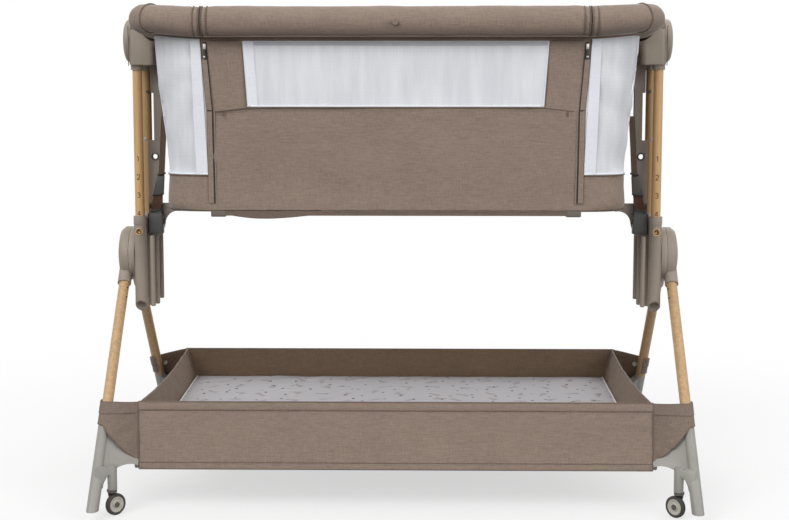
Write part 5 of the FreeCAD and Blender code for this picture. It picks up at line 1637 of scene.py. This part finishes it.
@dataclass
class Tray(Assembly):
    """Storage tray between the feet: long panels, their wraps, ends, floor and printed lining."""

    half_length: float = 407.0
    top: float = 171.0
    foot: float = 65.0
    top_y: float = 241.0
    foot_y: float = 249.0
    cloth: float = 2.2
    floor_top: float = 117.0
    hem: float = 12.0
    wrap_hem: float = 15.5
    sleeve: float = 11.2
    deep: float = 15.0
    flat_share: float = 0.6

    def build(self) -> None:
        """Builds the panels with their wraps, then the ends, floor and lining in front and rear halves."""
        for side in Side:
            self.panel(side)
            self.half_floor(side)
            self.half_lining(side)
            for end in End:
                self.wrap(side, end)
                self.half_end(side, end)

    def face(self, z: float) -> float:
        """Distance of the long panels' outer face from the middle, at a height."""
        return self.top_y + (self.top - z) / (self.top - self.foot) * (self.foot_y - self.top_y)

    def lean(self, y: float) -> float:
        """How far an end panel's foot leans in at a depth: more at the front, as the photograph shows."""
        return 18.5 - 4.5 * y / self.top_y

    def on_panel(self, side: Side, x: float, z: float, out: float) -> Vector:
        """Point of a long panel, slack between its hems and dragged into creases at its ends."""
        k = side.value
        share = clamp((z - self.foot) / (self.top - self.foot))
        near = max(0.0, 1.0 - (self.half_length - abs(x)) / 130)
        drag = Vector((x + 1.3 * math.copysign(z, x), z, 0))
        wave = 1.0 * ripple(Vector((x, z, k * 50)), (130, 55, 60)) - 0.6
        wave += (1.7 if side is Side.FRONT else 3.4) * near * ripple(drag, (70, 13, 10), 4.0)
        return Vector((x, k * (self.face(z) + out + min(0.8, wave) * math.sin(math.pi * share)), z))

    def panel(self, side: Side) -> None:
        """One long panel with its hems, seams and stitches."""
        k, tag, body = side.value, side.tag, side.stand
        node = "tray_front_panel" if side is Side.FRONT else "tray_back_panel"

        def band(low: float, high: float, out: float, swell: float) -> Callable[[float, float], Vector]:
            """Surface between two heights of the panel, whose face turns outwards."""
            half = -k * self.half_length
            return lambda u, v: self.on_panel(side, half * (2 * u - 1), low + v * (high - low),
                                              out + swell * math.sin(math.pi * v))

        # The panel's back, which faces into the tray, takes a darker canvas: painted shade.
        piece = self.laid(f"tray_{tag}_cloth", 110, 16, band(self.foot, self.top, 0.0, 0.0), self.cloth,
                          CANVAS, CANVAS_BACK_PAINTED_SHADE)
        self.mount(piece, body, "melange_fabric", None, [node])
        hem_line = self.top - self.hem
        for label, low, high, seam in (("head", hem_line, self.top + 0.4, hem_line + 1.6),
                                       ("foot", self.foot - 0.4, self.foot + 10, self.foot + 8.4)):
            hem = self.laid(f"tray_{tag}_hem_{label}", 110, 3, band(low, high, 0.7, 0.5), 1.0, CANVAS)
            self.mount(hem, body, "melange_fabric")
            line = [tuple(self.on_panel(side, x, seam, 1.3)) for x in range(-400, 401, 8)]
            self.mount(stitches(f"tray_{tag}_stitches_{label}", line), body, "melange_fabric", THREAD)
        for label, z, out, radius in (("hem_line_low", self.foot + 10.4, 0.7, 0.75),
                                      ("hem_line_high", hem_line - 0.4, 0.7, 0.65),
                                      ("head", self.top + 0.3, -self.cloth / 2 + 0.7, 1.5),
                                      ("foot", self.foot + 0.2, -self.cloth / 2 + 0.6, 1.5)):
            rim = [tuple(self.on_panel(side, x, z, out)) for x in range(-407, 408, 11)]
            self.sew(f"tray_{tag}_rim_{label}", rim, radius, body)

    def on_wrap(self, side: Side, end: End, u: float, v: float, out: float) -> Vector:
        """Point of a wrap: out to the leg over the first part of its length, then round behind it.

        Args:
            side: Long side of the tray.
            end: End of the tray.
            u: Share along the wrap, from the panel.
            v: Share up the wrap.
            out: Distance out from its face.

        Returns:
            The point.
        """
        k, e = side.value, end.value
        reach = self.reach(u)
        low, high = self.wrap_span(reach)
        z = low + v * (high - low)
        root, tip = self.face(z), leg_y(z) + self.deep
        fold = 3.0 * ripple(Vector((z * 0.9 + 34 * reach, 40 * reach, e * 40 + k * 9)), (10, 34, 9), 2.0)
        fold += 1.1 * math.sin(10.0 * v + 5.0 * reach + 2.0 * fold) * (1 - v)
        y = root + reach ** 1.5 * (tip - root) + (fold - 0.8) * math.sin(math.pi * reach) + out
        x = self.half_length + reach * (side.leg_x - self.half_length)
        if u > self.flat_share:
            a = (u - self.flat_share) / (1 - self.flat_share) * math.radians(190)
            x = side.leg_x + (self.sleeve + out) * math.sin(a)
            y = leg_y(z) + (self.deep + out) * math.cos(a)
        return Vector((e * x, k * y, z))

    def reach(self, u: float) -> float:
        """Share of the way from the panel to the leg, from the share along the whole wrap."""
        return min(u / self.flat_share, 1.0)

    def wrap_span(self, reach: float) -> tuple[float, float]:
        """Heights of a wrap's lower and upper edge, at a share of the way from the panel to the leg."""
        root = self.foot + 15
        return root + reach ** 1.3 * (self.top - 38.5 - root), self.top - 0.5 - 7.0 * reach

    def wrap(self, side: Side, end: End) -> None:
        """The wrap from a panel's end round its leg, with its hems, its seam and, behind, its snap stud."""
        k, e, body = side.value, end.value, side.stand
        tag = f"{side.tag}_{end.tag}"

        def hem_from(u: float) -> float:
            """Share up the wrap where its hem starts, a fixed way under its upper edge."""
            low, high = self.wrap_span(self.reach(u))
            return 1.0 - self.wrap_hem / (high - low)

        def cloth(u: float, v: float) -> Vector:
            """Point of the wrap's face, which turns outwards."""
            return self.on_wrap(side, end, 1 - u if k * e > 0 else u, v, 0.0)

        def hem(u: float, v: float) -> Vector:
            """Point of the hem along the wrap's upper edge."""
            share = 1 - u if k * e > 0 else u
            return self.on_wrap(side, end, share, 1.0 - (1.0 - hem_from(share)) * (1.0 - v), 0.8)

        # The wrap's face and back take darker canvas: painted shade.
        piece = self.laid(f"tray_wrap_{tag}", 52, 12, cloth, 1.6, CANVAS_WRAP_PAINTED_SHADE, CANVAS_BACK_PAINTED_SHADE)
        self.mount(piece, body, "melange_fabric")
        self.mount(self.laid(f"tray_wrap_hem_{tag}", 52, 2, hem, 0.9, CANVAS_WRAP_PAINTED_SHADE), body, "melange_fabric")
        shares = [i / 52 for i in range(53)]
        line = [tuple(self.on_wrap(side, end, u, hem_from(u) - 0.01, 0.5)) for u in shares]
        self.sew(f"tray_wrap_seam_{tag}", line, 0.6, body)
        for label, v in (("foot", 0.0), ("head", 1.0)):
            edge = [tuple(self.on_wrap(side, end, u, v, -0.7)) for u in shares]
            self.sew(f"tray_wrap_{label}_{tag}", edge, 1.1, body)
        seam = [(e * self.half_length, k * (self.face(z) + 0.7), z)
                for z in range(int(self.foot) + 1, int(self.top) + 1, 5)]
        self.sew(f"tray_side_seam_{tag}", seam, 0.9, body)
        if side is Side.REAR:
            spot = self.on_wrap(side, end, 0.47, 0.62, -2.4)
            stud = rod(f"tray_stud_{tag}", 5.0, spot, spot - Vector((0, 1.7 * k, 0)), 24, 4.0)
            soften(stud, 0.5)
            self.mount(stud, body, "stud_metal", STUD_PALE)

    def bend(self, piece: Piece, side: Side, slot: str, finish: Finish | None = None,
             stands_for: Sequence[str] = ()) -> None:
        """Bends a piece of the tray's inside between the columns and its own leg frame.

        Args:
            piece: The finished piece.
            side: Long side of the tray.
            slot: The record's slot; not used.
            finish: What it is dressed in, unless it is dressed already.
            stands_for: CAD nodes it replaces.
        """
        if finish:
            finish.dress(piece)
        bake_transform(piece)
        if stands_for:
            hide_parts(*stands_for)
        LOG.info("%s bends to the %s legs", piece.name, side.tag)

    def half_floor(self, side: Side) -> None:
        """Front or rear half of the stiffened floor."""
        k = side.value
        deep = self.face(self.floor_top) - self.cloth - 1.2

        def surface(u: float, v: float) -> Vector:
            """Point of the floor."""
            y = k * deep * (v if k > 0 else 1 - v)
            return Vector(((self.half_length - self.lean(y) - 3) * (2 * u - 1), y, self.floor_top - 0.4))

        # The floor takes the darker canvas: painted shade inside the tray.
        base = self.laid(f"tray_floor_{side.tag}", 48, 16, surface, 2.6, CANVAS_BACK_PAINTED_SHADE)
        self.bend(base, side, "inner_fabric", stands_for=["tray_floor"])

    def half_lining(self, side: Side) -> None:
        """Front or rear half of the printed lining, softly creased and pillowed at its sewn edge."""
        k, tag = side.value, side.tag
        deep = self.face(self.floor_top) - self.cloth - 4.5

        def surface(u: float, v: float) -> Vector:
            """Point of the lining."""
            y = deep * (v if k > 0 else 1 - v)
            half_x = self.half_length - self.lean(k * y) - 6.5
            x = half_x * (2 * u - 1)
            flat, askew = Vector((x, y * k, 0)), Vector((x + 0.6 * y * k, y * k - 0.4 * x, 0))
            inner = clamp(min((half_x - abs(x)) / 16, (deep - y) / 16))
            puff = 3.4 * math.sqrt(inner) + 1.2 * ripple(flat, (95, 60, 1), 3.0) * inner
            puff += 2.3 * ripple(askew, (120, 17, 1), 8.0) * inner
            wobble = 2.6 * ripple(flat, (26, 26, 1), 5.0) * (1 - inner)
            return Vector((x, k * (y + wobble if y > 5 else y), self.floor_top + 1.0 + max(0.2, puff)))

        # The lining's greyed ground is painted shade.
        pad = self.laid(f"tray_lining_{tag}", 110, 36, surface, 0.8, PRINT_IN_PAINTED_SHADE)
        self.bend(pad, side, "liner_fabric", stands_for=["tray_liner"])
        edge = [tuple(surface(0.0, i / 36) + Vector((0, 0, 0.2))) for i in range(37)]
        for name, points in (("left", edge), ("right", [(-x, y, z) for x, y, z in edge])):
            self.bend(tube(f"tray_lining_piping_{name}_{tag}", points, 1.4), side, "liner_fabric", LINING)

    def half_end(self, side: Side, end: End) -> None:
        """Front or rear half of an end panel, sagging along its upper edge."""
        k, e, tag = side.value, end.value, f"{side.tag}_{end.tag}"
        deep, low = self.face(self.top) - self.cloth - 1.0, self.floor_top - 3

        def surface(u: float, v: float, out: float = 0.0) -> Vector:
            """Point of the end panel from its share along Y and its share up."""
            y, slack = deep * u, 1 - u ** 2
            z = low + v * (self.top - 0.6 - 5.0 * slack - low)
            x = self.half_length - 1.8 - self.lean(k * y) * (1 - v) ** 0.85 - 3.6 * slack * v
            x += 1.3 * ripple(Vector((z + 0.5 * y, y * k, e * 40)), (20, 45, 10)) * min(1, 4 * (1 - u))
            return Vector((e * (x + out), k * y, z))

        # The end's face and back take darker canvas: painted shade.
        piece = self.laid(f"tray_end_{tag}", 24, 10, lambda u, v: surface(1 - u if k * e < 0 else u, v),
                          self.cloth, CANVAS_WRAP_PAINTED_SHADE, CANVAS_BACK_PAINTED_SHADE)
        self.bend(piece, side, "inner_fabric", stands_for=["tray_ends"])
        if side is Side.REAR:
            # Gathers at the rear corners: dark lines of painted shade in the folds.
            for fold, inset in enumerate((0.965, 0.93, 0.9)):
                line = [tuple(surface(inset - 0.02 * math.sin(3.1 * i / 9 + fold), 1.0 - 0.55 * i / 9, -2.2))
                        for i in range(10)]
                gather = tube(f"tray_gather_{fold + 1}_{tag}", line, 1.5 - 0.2 * fold)
                self.bend(gather, side, "inner_fabric", CANVAS_SEAMS_AND_SHADE)
        rim = [tuple(surface(i / 24, 1.0, -self.cloth / 2)) for i in range(25)]
        self.bend(tube(f"tray_end_rim_{tag}", rim, 1.6), side, "inner_fabric", CANVAS_SEAMS_AND_SHADE)


# Strokes of the height marks, as points of X and Z on a figure one unit high.
FIGURES: dict[str, list[tuple[float, float]]] = {
    "1": [(-0.2, 0.3), (0.02, 0.5), (0.02, -0.5)],
    "2": [(-0.28, 0.25), (-0.2, 0.43), (0.0, 0.5), (0.2, 0.42), (0.28, 0.22), (0.18, 0.0), (-0.28, -0.5),
          (0.3, -0.5)],
    "3": [(-0.26, 0.36), (-0.08, 0.5), (0.14, 0.47), (0.25, 0.3), (0.18, 0.1), (-0.02, 0.03), (0.2, -0.05),
          (0.28, -0.25), (0.16, -0.45), (-0.06, -0.5), (-0.28, -0.36)],
    "4": [(0.14, -0.5), (0.14, 0.5), (-0.3, -0.2), (0.32, -0.2)],
    "5": [(0.24, 0.5), (-0.2, 0.5), (-0.24, 0.06), (0.0, 0.14), (0.22, 0.04), (0.28, -0.2), (0.16, -0.43),
          (-0.06, -0.5), (-0.27, -0.38)],
}


@dataclass
class Ends(Assembly):
    """Posts, top housings, struts, brackets, buckles and straps at both ends."""

    post_x: float = 436.4
    post_y: float = 42.0
    post_radius: float = 8.0
    mark_radius: float = 1.7
    mark_sunk: float = 1.56
    mark_height: float = 8.6
    step: float = 30.8
    screw_z: float = 577.2
    plug_z: float = 659.0
    window_z: float = 423.8
    window_y: float = -53.2
    window_radius: float = 5.6
    rib_x: float = 416.8
    rib_radius: float = 4.2
    cheek_x: float = 447.0
    cheek_share: float = 0.62
    eyelet: Point = (413.5, -16.4, 549.4)
    eyelet_radius: float = 5.4
    strap_half: float = 8.0

    def build(self) -> None:
        """Finishes the rigid pieces of both ends and builds what is sewn, printed or screwed on them."""
        for end in End:
            self.posts(end)
            self.top_housing(end)
            self.strap(end)
            self.column_marks(end)
        x, y, z = self.eyelet
        for end in End:
            ring = circle((end.value * x, y, z), self.eyelet_radius, (1, 0, 0))
            self.sew(f"tether_eyelet_{end.tag}", ring, 1.3, "bassinet", FORK, "housing_plastic", closed=True)
        self.refine("end_struts", PLATE, 0.8)
        self.refine("end_brackets", PLATE, 1.0)
        self.refine("buckle_sockets", BUCKLE, 1.2)
        self.refine("buckle_plugs", BUCKLE, 0.8)

    def posts(self, end: End) -> None:
        """Keeps the posts: the front one with its marks, the rear one in darker beech as painted shade, with
        its screw and plug.
        """
        tag, k = end.tag, end.value
        node = self.frame["nodes"][f"posts_{tag}"]
        self.keep(f"posts_{tag}", BEECH_POST)
        # The rear post's faces take the darker beech: painted shade.
        node.data.materials.append(BEECH_POST_REAR_PAINTED_SHADE.material())
        for face in node.data.polygons:
            face.material_index = 1 if face.center.y > 0 else 0
        for mark, figure in enumerate("54321"):
            self.height_mark(end, figure, self.window_z + mark * self.step)
        x, z = k * 438.6, self.screw_z
        screw = rod(f"post_screw_{tag}", 3.1, (x, 34.0, z), (x, 35.6, z), 20)
        soften(screw, 0.2)
        self.mount(screw, "bassinet", "steel_pin", PIN)
        x, z = k * 433.4, self.plug_z
        plug = rod(f"post_plug_{tag}", 2.9, (x, 33.4, z), (x, 35.0, z), 20)
        self.mount(plug, "bassinet", "housing_plastic", TEETH)

    def height_mark(self, end: End, figure: str, middle: float) -> None:
        """Prints one figure round the face of a front post, with its middle at a height."""
        spots = FIGURES[figure]
        points = [[a + (b - a) * i / 5 for a, b in zip(first, last)]
                  for first, last in zip(spots, spots[1:]) for i in range(5)]
        depth = self.post_radius - self.mark_sunk
        line = []
        for x, z in [*points, spots[-1]]:
            a = x * self.mark_height / self.post_radius
            line.append((end.value * self.post_x + depth * math.sin(a), -self.post_y - depth * math.cos(a),
                         middle + z * self.mark_height))
        self.sew(f"height_mark_{figure}_{end.tag}", line, self.mark_radius, "bassinet", INK, "beech_wood",
                 sides=16)

    def top_housing(self, end: End) -> None:
        """A top housing drawn in beyond its cheek, with a dark line of painted shade for its groove, and the
        strut's head under it.
        """
        k, tag = end.value, end.tag

        def narrowed(p: Vector) -> Vector:
            """Point of the housing, thinner beyond the cheek than the CAD's, as the photograph shows."""
            past = max(0.0, abs(p.x) - self.cheek_x)
            return Vector((math.copysign(abs(p.x) - past * (1 - self.cheek_share), p.x), p.y, p.z))

        mould(self.refine(f"top_housing_{tag}", HOUSING, 1.6, 3), narrowed)
        head = block(f"strut_head_{tag}", (k * 400.2, -15.9, 657), (k * 419.5, -8.1, 705))
        soften(head, 1.6, 3)
        self.mount(head, "bassinet", "housing_plastic", PLATE)
        # The groove is a dark line: painted shade.
        groove = [(k * self.cheek_x, -60.15, z) for z in range(702, 772, 6)]
        self.sew(f"housing_groove_{tag}", groove, 0.7, "bassinet", HOUSING_DARK_AND_GROOVE_SHADE, "housing_plastic", sides=6)

    def column_marks(self, end: End) -> None:
        """The ring round the height window and the three upright ribs of the column's inner side."""
        k, tag = end.value, end.tag
        ring = circle((k * self.post_x, self.window_y, self.window_z), self.window_radius, (1, 0, 0))
        self.sew(f"window_ring_{tag}", ring, 0.8, "columns", BEECH_POST, "housing_plastic", closed=True)
        x = k * self.rib_x
        for place, y, low, high in (("front", -40.0, 295.0, 416.0), ("middle", 2.0, 293.0, 416.0),
                                    ("rear", 44.0, 297.0, 446.0)):
            rib = rod(f"column_rib_{place}_{tag}", self.rib_radius, (x, y, low), (x, y, high), 24)
            soften(rib, 2.0, 3)
            self.mount(rib, "columns", "housing_plastic", HOUSING)

    def strap(self, end: End) -> None:
        """The tether strap from the bracket's buckle up behind its plate, with its adjuster."""
        k, tag = end.value, end.tag

        def low_band(u: float, v: float) -> Vector:
            """Point of the webbing from the buckle up to the adjuster."""
            z = 458.0 + v * 30.0
            x = k * (411.0 - 0.10 * (z - 458)) + self.strap_half * (2 * u - 1)
            return Vector((x, -28.9 + 7.2 * clamp((z - 470) / 14), z))

        def high_band(u: float, v: float) -> Vector:
            """Point of the narrower webbing from the adjuster up the strut."""
            z = 512.0 + v * 106.0
            x = k * (402.5 - 0.055 * (z - 515)) + self.strap_half * 0.62 * (2 * u - 1)
            return Vector((x, -20.4 + 3.0 * clamp((z - 520) / 60) - 0.5 * math.sin(z / 11), z))

        lower = self.laid(f"strap_lower_{tag}", 4, 12, low_band, 1.2, STRAP)
        self.mount(lower, "bassinet", "webbing", None, ["straps"])
        upper = self.laid(f"strap_upper_{tag}", 4, 22, high_band, 1.4, WEBBING)
        self.mount(upper, "bassinet", "webbing")
        self.adjuster(end)

    def adjuster(self, end: End) -> None:
        """The tapered slide adjuster on the strap, with its bars."""
        k, tag = end.value, end.tag
        foot, head = 485, 516

        def tapered(p: Vector) -> Vector:
            """Point of the adjuster, leaning with the strap and narrower towards its head."""
            taper = 1.0 - 0.36 * (p.z - foot) / (head - foot)
            return Vector((k * (408.0 - 0.17 * (p.z - foot)) + p.x * taper, p.y, p.z))

        body = block(f"strap_adjuster_{tag}", (-9.3, -23.6, foot), (9.3, -20.2, head))
        mould(body, tapered)
        soften(body, 1.3, 3)
        self.mount(body, "bassinet", "buckle_plastic", BUCKLE)
        lean = 1.4 * k
        for label, z, reach, x, y in (("low", 485.0, 9.8, 408.2, -22.6), ("foot", 458.5, 8.6, 411.0, -29.0),
                                      ("high", 520.0, 7.2, 402.2, -21.4)):
            bar = rod(f"strap_bar_{label}_{tag}", 1.7, (k * x - reach, y, z + lean),
                      (k * x + reach, y, z - lean), 16)
            soften(bar, 0.5)
            self.mount(bar, "bassinet", "buckle_plastic", TEETH)


@dataclass
class Zips(Assembly):
    """Two zips beside the drop-down front: tapes, coils and sliders with their pulls."""

    shape: TubShape = field(default_factory=TubShape)
    foot: float = 483.6
    head: float = 736.6
    pitch: float = 1.7
    slider_x: float = 299.05
    pull_foot: float = 711.9
    pull_head: float = 726.4

    def build(self) -> None:
        """Builds the tapes with their coils, and the sliders."""
        for end in End:
            self.tape(end)
            self.slider(end)

    def spot(self, end: End, z: float, beside: float, out: float) -> Vector:
        """Point of the tub's front at a distance from a zip's slit."""
        s = self.shape
        return Vector((end.value * (s.drop_half(z) + beside), -s.half_width(z) - out, z))

    def tape(self, end: End) -> None:
        """The zip's woven tape, and its coil of teeth and cord in the slit."""
        tag, k = end.tag, end.value
        length = self.head - self.foot

        def place(u: float, v: float) -> Vector:
            """Point of the tape, its face outwards."""
            return self.spot(end, self.foot + v * length, 0.5 + 5.0 * (u if k > 0 else 1 - u), 0.55)

        tape = self.laid(f"zip_tape_{tag}", 4, 40, place, 0.5, TAPE)
        self.mount(tape, "bassinet", "zip_tape", None, ["zip_tapes"])
        line = [tuple(self.spot(end, self.foot + i * length / 60, 0.1, 0.7)) for i in range(61)]
        coil = stitches(f"zip_coil_{tag}", line, self.pitch, 1.3, 0.95)
        self.mount(coil, "bassinet", "zip_tape", TEETH)
        self.sew(f"zip_cord_{tag}", line, 0.55, "bassinet", TEETH, "zip_tape", sides=6)
        LOG.info("%s has %d teeth", coil.name, int(length / self.pitch))

    def slider(self, end: End) -> None:
        """The slider's metal body, its bridge, and the black pull with a metal tip."""
        tag, x = end.tag, end.value * self.slider_x
        foot, head = self.pull_foot, self.pull_head

        def drawn_in(share: Callable[[float], float]) -> Callable[[Vector], Vector]:
            """Narrows a piece about the slider's middle by a share that depends on the height."""
            return lambda p: Vector((x + (p.x - x) * share(p.z), p.y, p.z))

        shell = block(f"slider_shell_{tag}", (x - 2.8, -208.6, 724.6), (x + 2.8, -205.7, 734.4))
        mould(shell, drawn_in(lambda z: 1.0 - 0.25 * abs(z - 731) / 6.5))
        soften(shell, 0.9, 3)
        arch = [(x, -208.4 - 0.75 * math.sin(math.pi * i / 10), 726 + 7 * i / 10) for i in range(11)]
        bridge = tube(f"slider_bridge_{tag}", arch, 0.75)
        pull = block(f"slider_pull_{tag}", (x - 2.2, -209.0, foot), (x + 2.2, -207.2, head))
        mould(pull, drawn_in(lambda z: 0.62 + 0.38 * (head - z) / (head - foot)))
        soften(pull, 0.7, 3)
        tip = block(f"slider_tip_{tag}", (x - 1.7, -209.2, 712.2), (x + 1.7, -207.0, 715.0))
        soften(tip, 0.5, 2)
        for piece, finish in ((shell, SLIDER), (bridge, SLIDER), (pull, PULL), (tip, SLIDER)):
            finish.dress(piece)
        whole = joined(f"zip_slider_{tag}_finished", [shell, bridge, pull, tip])
        self.mount(whole, f"{tag}_zip", "zip_metal", None, [f"zip_slider_{tag}"])


@dataclass
class Studio:
    """Plain pale floor, soft lamps and the camera of the photograph, whose pitch and yaw are in degrees."""

    lens: float = 67.3
    eye: Point = (0.039, -2.530, 0.6644)
    pitch: float = 6.63
    yaw: float = 1.0

    def build(self) -> None:
        """Builds floor, world, lamps and camera."""
        scene = bpy.context.scene
        scene.view_settings.view_transform = "Standard"
        self.floor()
        self.world(scene)
        for name, place, size, power in (("key_light", (-1.7, -2.6, 2.6), 2.2, 62.0),
                                         ("fill_light", (2.3, -2.2, 1.5), 2.0, 34.0),
                                         ("back_light", (0.3, 2.6, 2.4), 2.4, 30.0)):
            self.lamp(name, place, size, power)
        camera = bpy.data.cameras.new("photo_camera")
        camera.lens = self.lens
        camera.sensor_width = 36.0
        holder = bpy.data.objects.new("photo_camera", camera)
        bpy.context.collection.objects.link(holder)
        holder.location = self.eye
        holder.rotation_euler = (math.radians(90 - self.pitch), 0, math.radians(self.yaw))
        scene.camera = holder

    def when_seen(self, tree: Tree) -> Socket:
        """1 for rays that come from the camera, a gloss or a clear piece, 0 for those that light the crib."""
        rays = add_node(tree, "ShaderNodeLightPath").outputs
        seen = rays["Is Camera Ray"]
        for ray in ("Is Glossy Ray", "Is Transmission Ray"):
            seen = add_node(tree, "ShaderNodeMath", {0: seen, 1: rays[ray]}, operation="MAXIMUM").outputs[0]
        return seen

    def floor(self) -> None:
        """A wide pale floor that keeps the crib's shadow, white where the camera sees it lit."""
        bpy.ops.object.select_all(action="DESELECT")
        bpy.ops.mesh.primitive_plane_add(size=30, location=(0, 0, 0))
        piece = named("studio_floor")
        made = bpy.data.materials.new("paper_backdrop_white")
        made.use_nodes = True
        tree = made.node_tree
        shader = tree.nodes["Principled BSDF"]
        shader.inputs["Base Color"].default_value = (0.9, 0.9, 0.9, 1)
        shader.inputs["Roughness"].default_value = 0.95
        shader.inputs["Specular IOR Level"].default_value = 0.0
        glow = add_node(tree, "ShaderNodeEmission", {"Color": (1, 1, 1, 1), "Strength": self.when_seen(tree)})
        place = add_node(tree, "ShaderNodeTexCoord").outputs["Object"]
        far = add_node(tree, "ShaderNodeVectorMath", {0: place}, operation="LENGTH").outputs["Value"]
        share = add_node(tree, "ShaderNodeMapRange",
                         {"Value": far, "From Min": 0.45, "From Max": 1.6, "To Min": 0.62, "To Max": 1.0},
                         interpolation_type="SMOOTHSTEP")
        mix = add_node(tree, "ShaderNodeMixShader",
                       {0: share.outputs[0], 1: shader.outputs[0], 2: glow.outputs[0]})
        tree.links.new(mix.outputs[0], tree.nodes["Material Output"].inputs["Surface"])
        piece.data.materials.append(made)

    def world(self, scene: bpy.types.Scene) -> None:
        """An even pale sky, white where the camera looks at it."""
        world = bpy.data.worlds.new("studio_world")
        scene.world = world
        world.use_nodes = True
        tree = world.node_tree
        back = tree.nodes["Background"]
        strength = add_node(tree, "ShaderNodeMapRange",
                            {"Value": self.when_seen(tree), "To Min": 0.62, "To Max": 1.0})
        back.inputs["Color"].default_value = (1, 1, 1, 1)
        tree.links.new(strength.outputs[0], back.inputs["Strength"])

    def lamp(self, name: str, place: Point, size: float, power: float) -> None:
        """Adds a square soft lamp that looks at the crib's middle."""
        light = bpy.data.lights.new(name, "AREA")
        light.size = size
        light.energy = power
        holder = bpy.data.objects.new(name, light)
        bpy.context.collection.objects.link(holder)
        holder.location = place
        holder.rotation_euler = (Vector((0, 0, 0.45)) - Vector(place)).to_track_quat("-Z", "Y").to_euler()


def main() -> None:
    """Builds the crib's sub-assemblies in order, then the studio."""
    logging.basicConfig(level=logging.INFO, format="%(name)s: %(message)s")
    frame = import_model()
    for assembly in (Stand, Castors, Tray, Tub, Rails, Zips, Ends):
        LOG.info("building %s", assembly.__name__)
        assembly(frame).build()
    Studio().build()


if __name__ == "__main__":
    main()
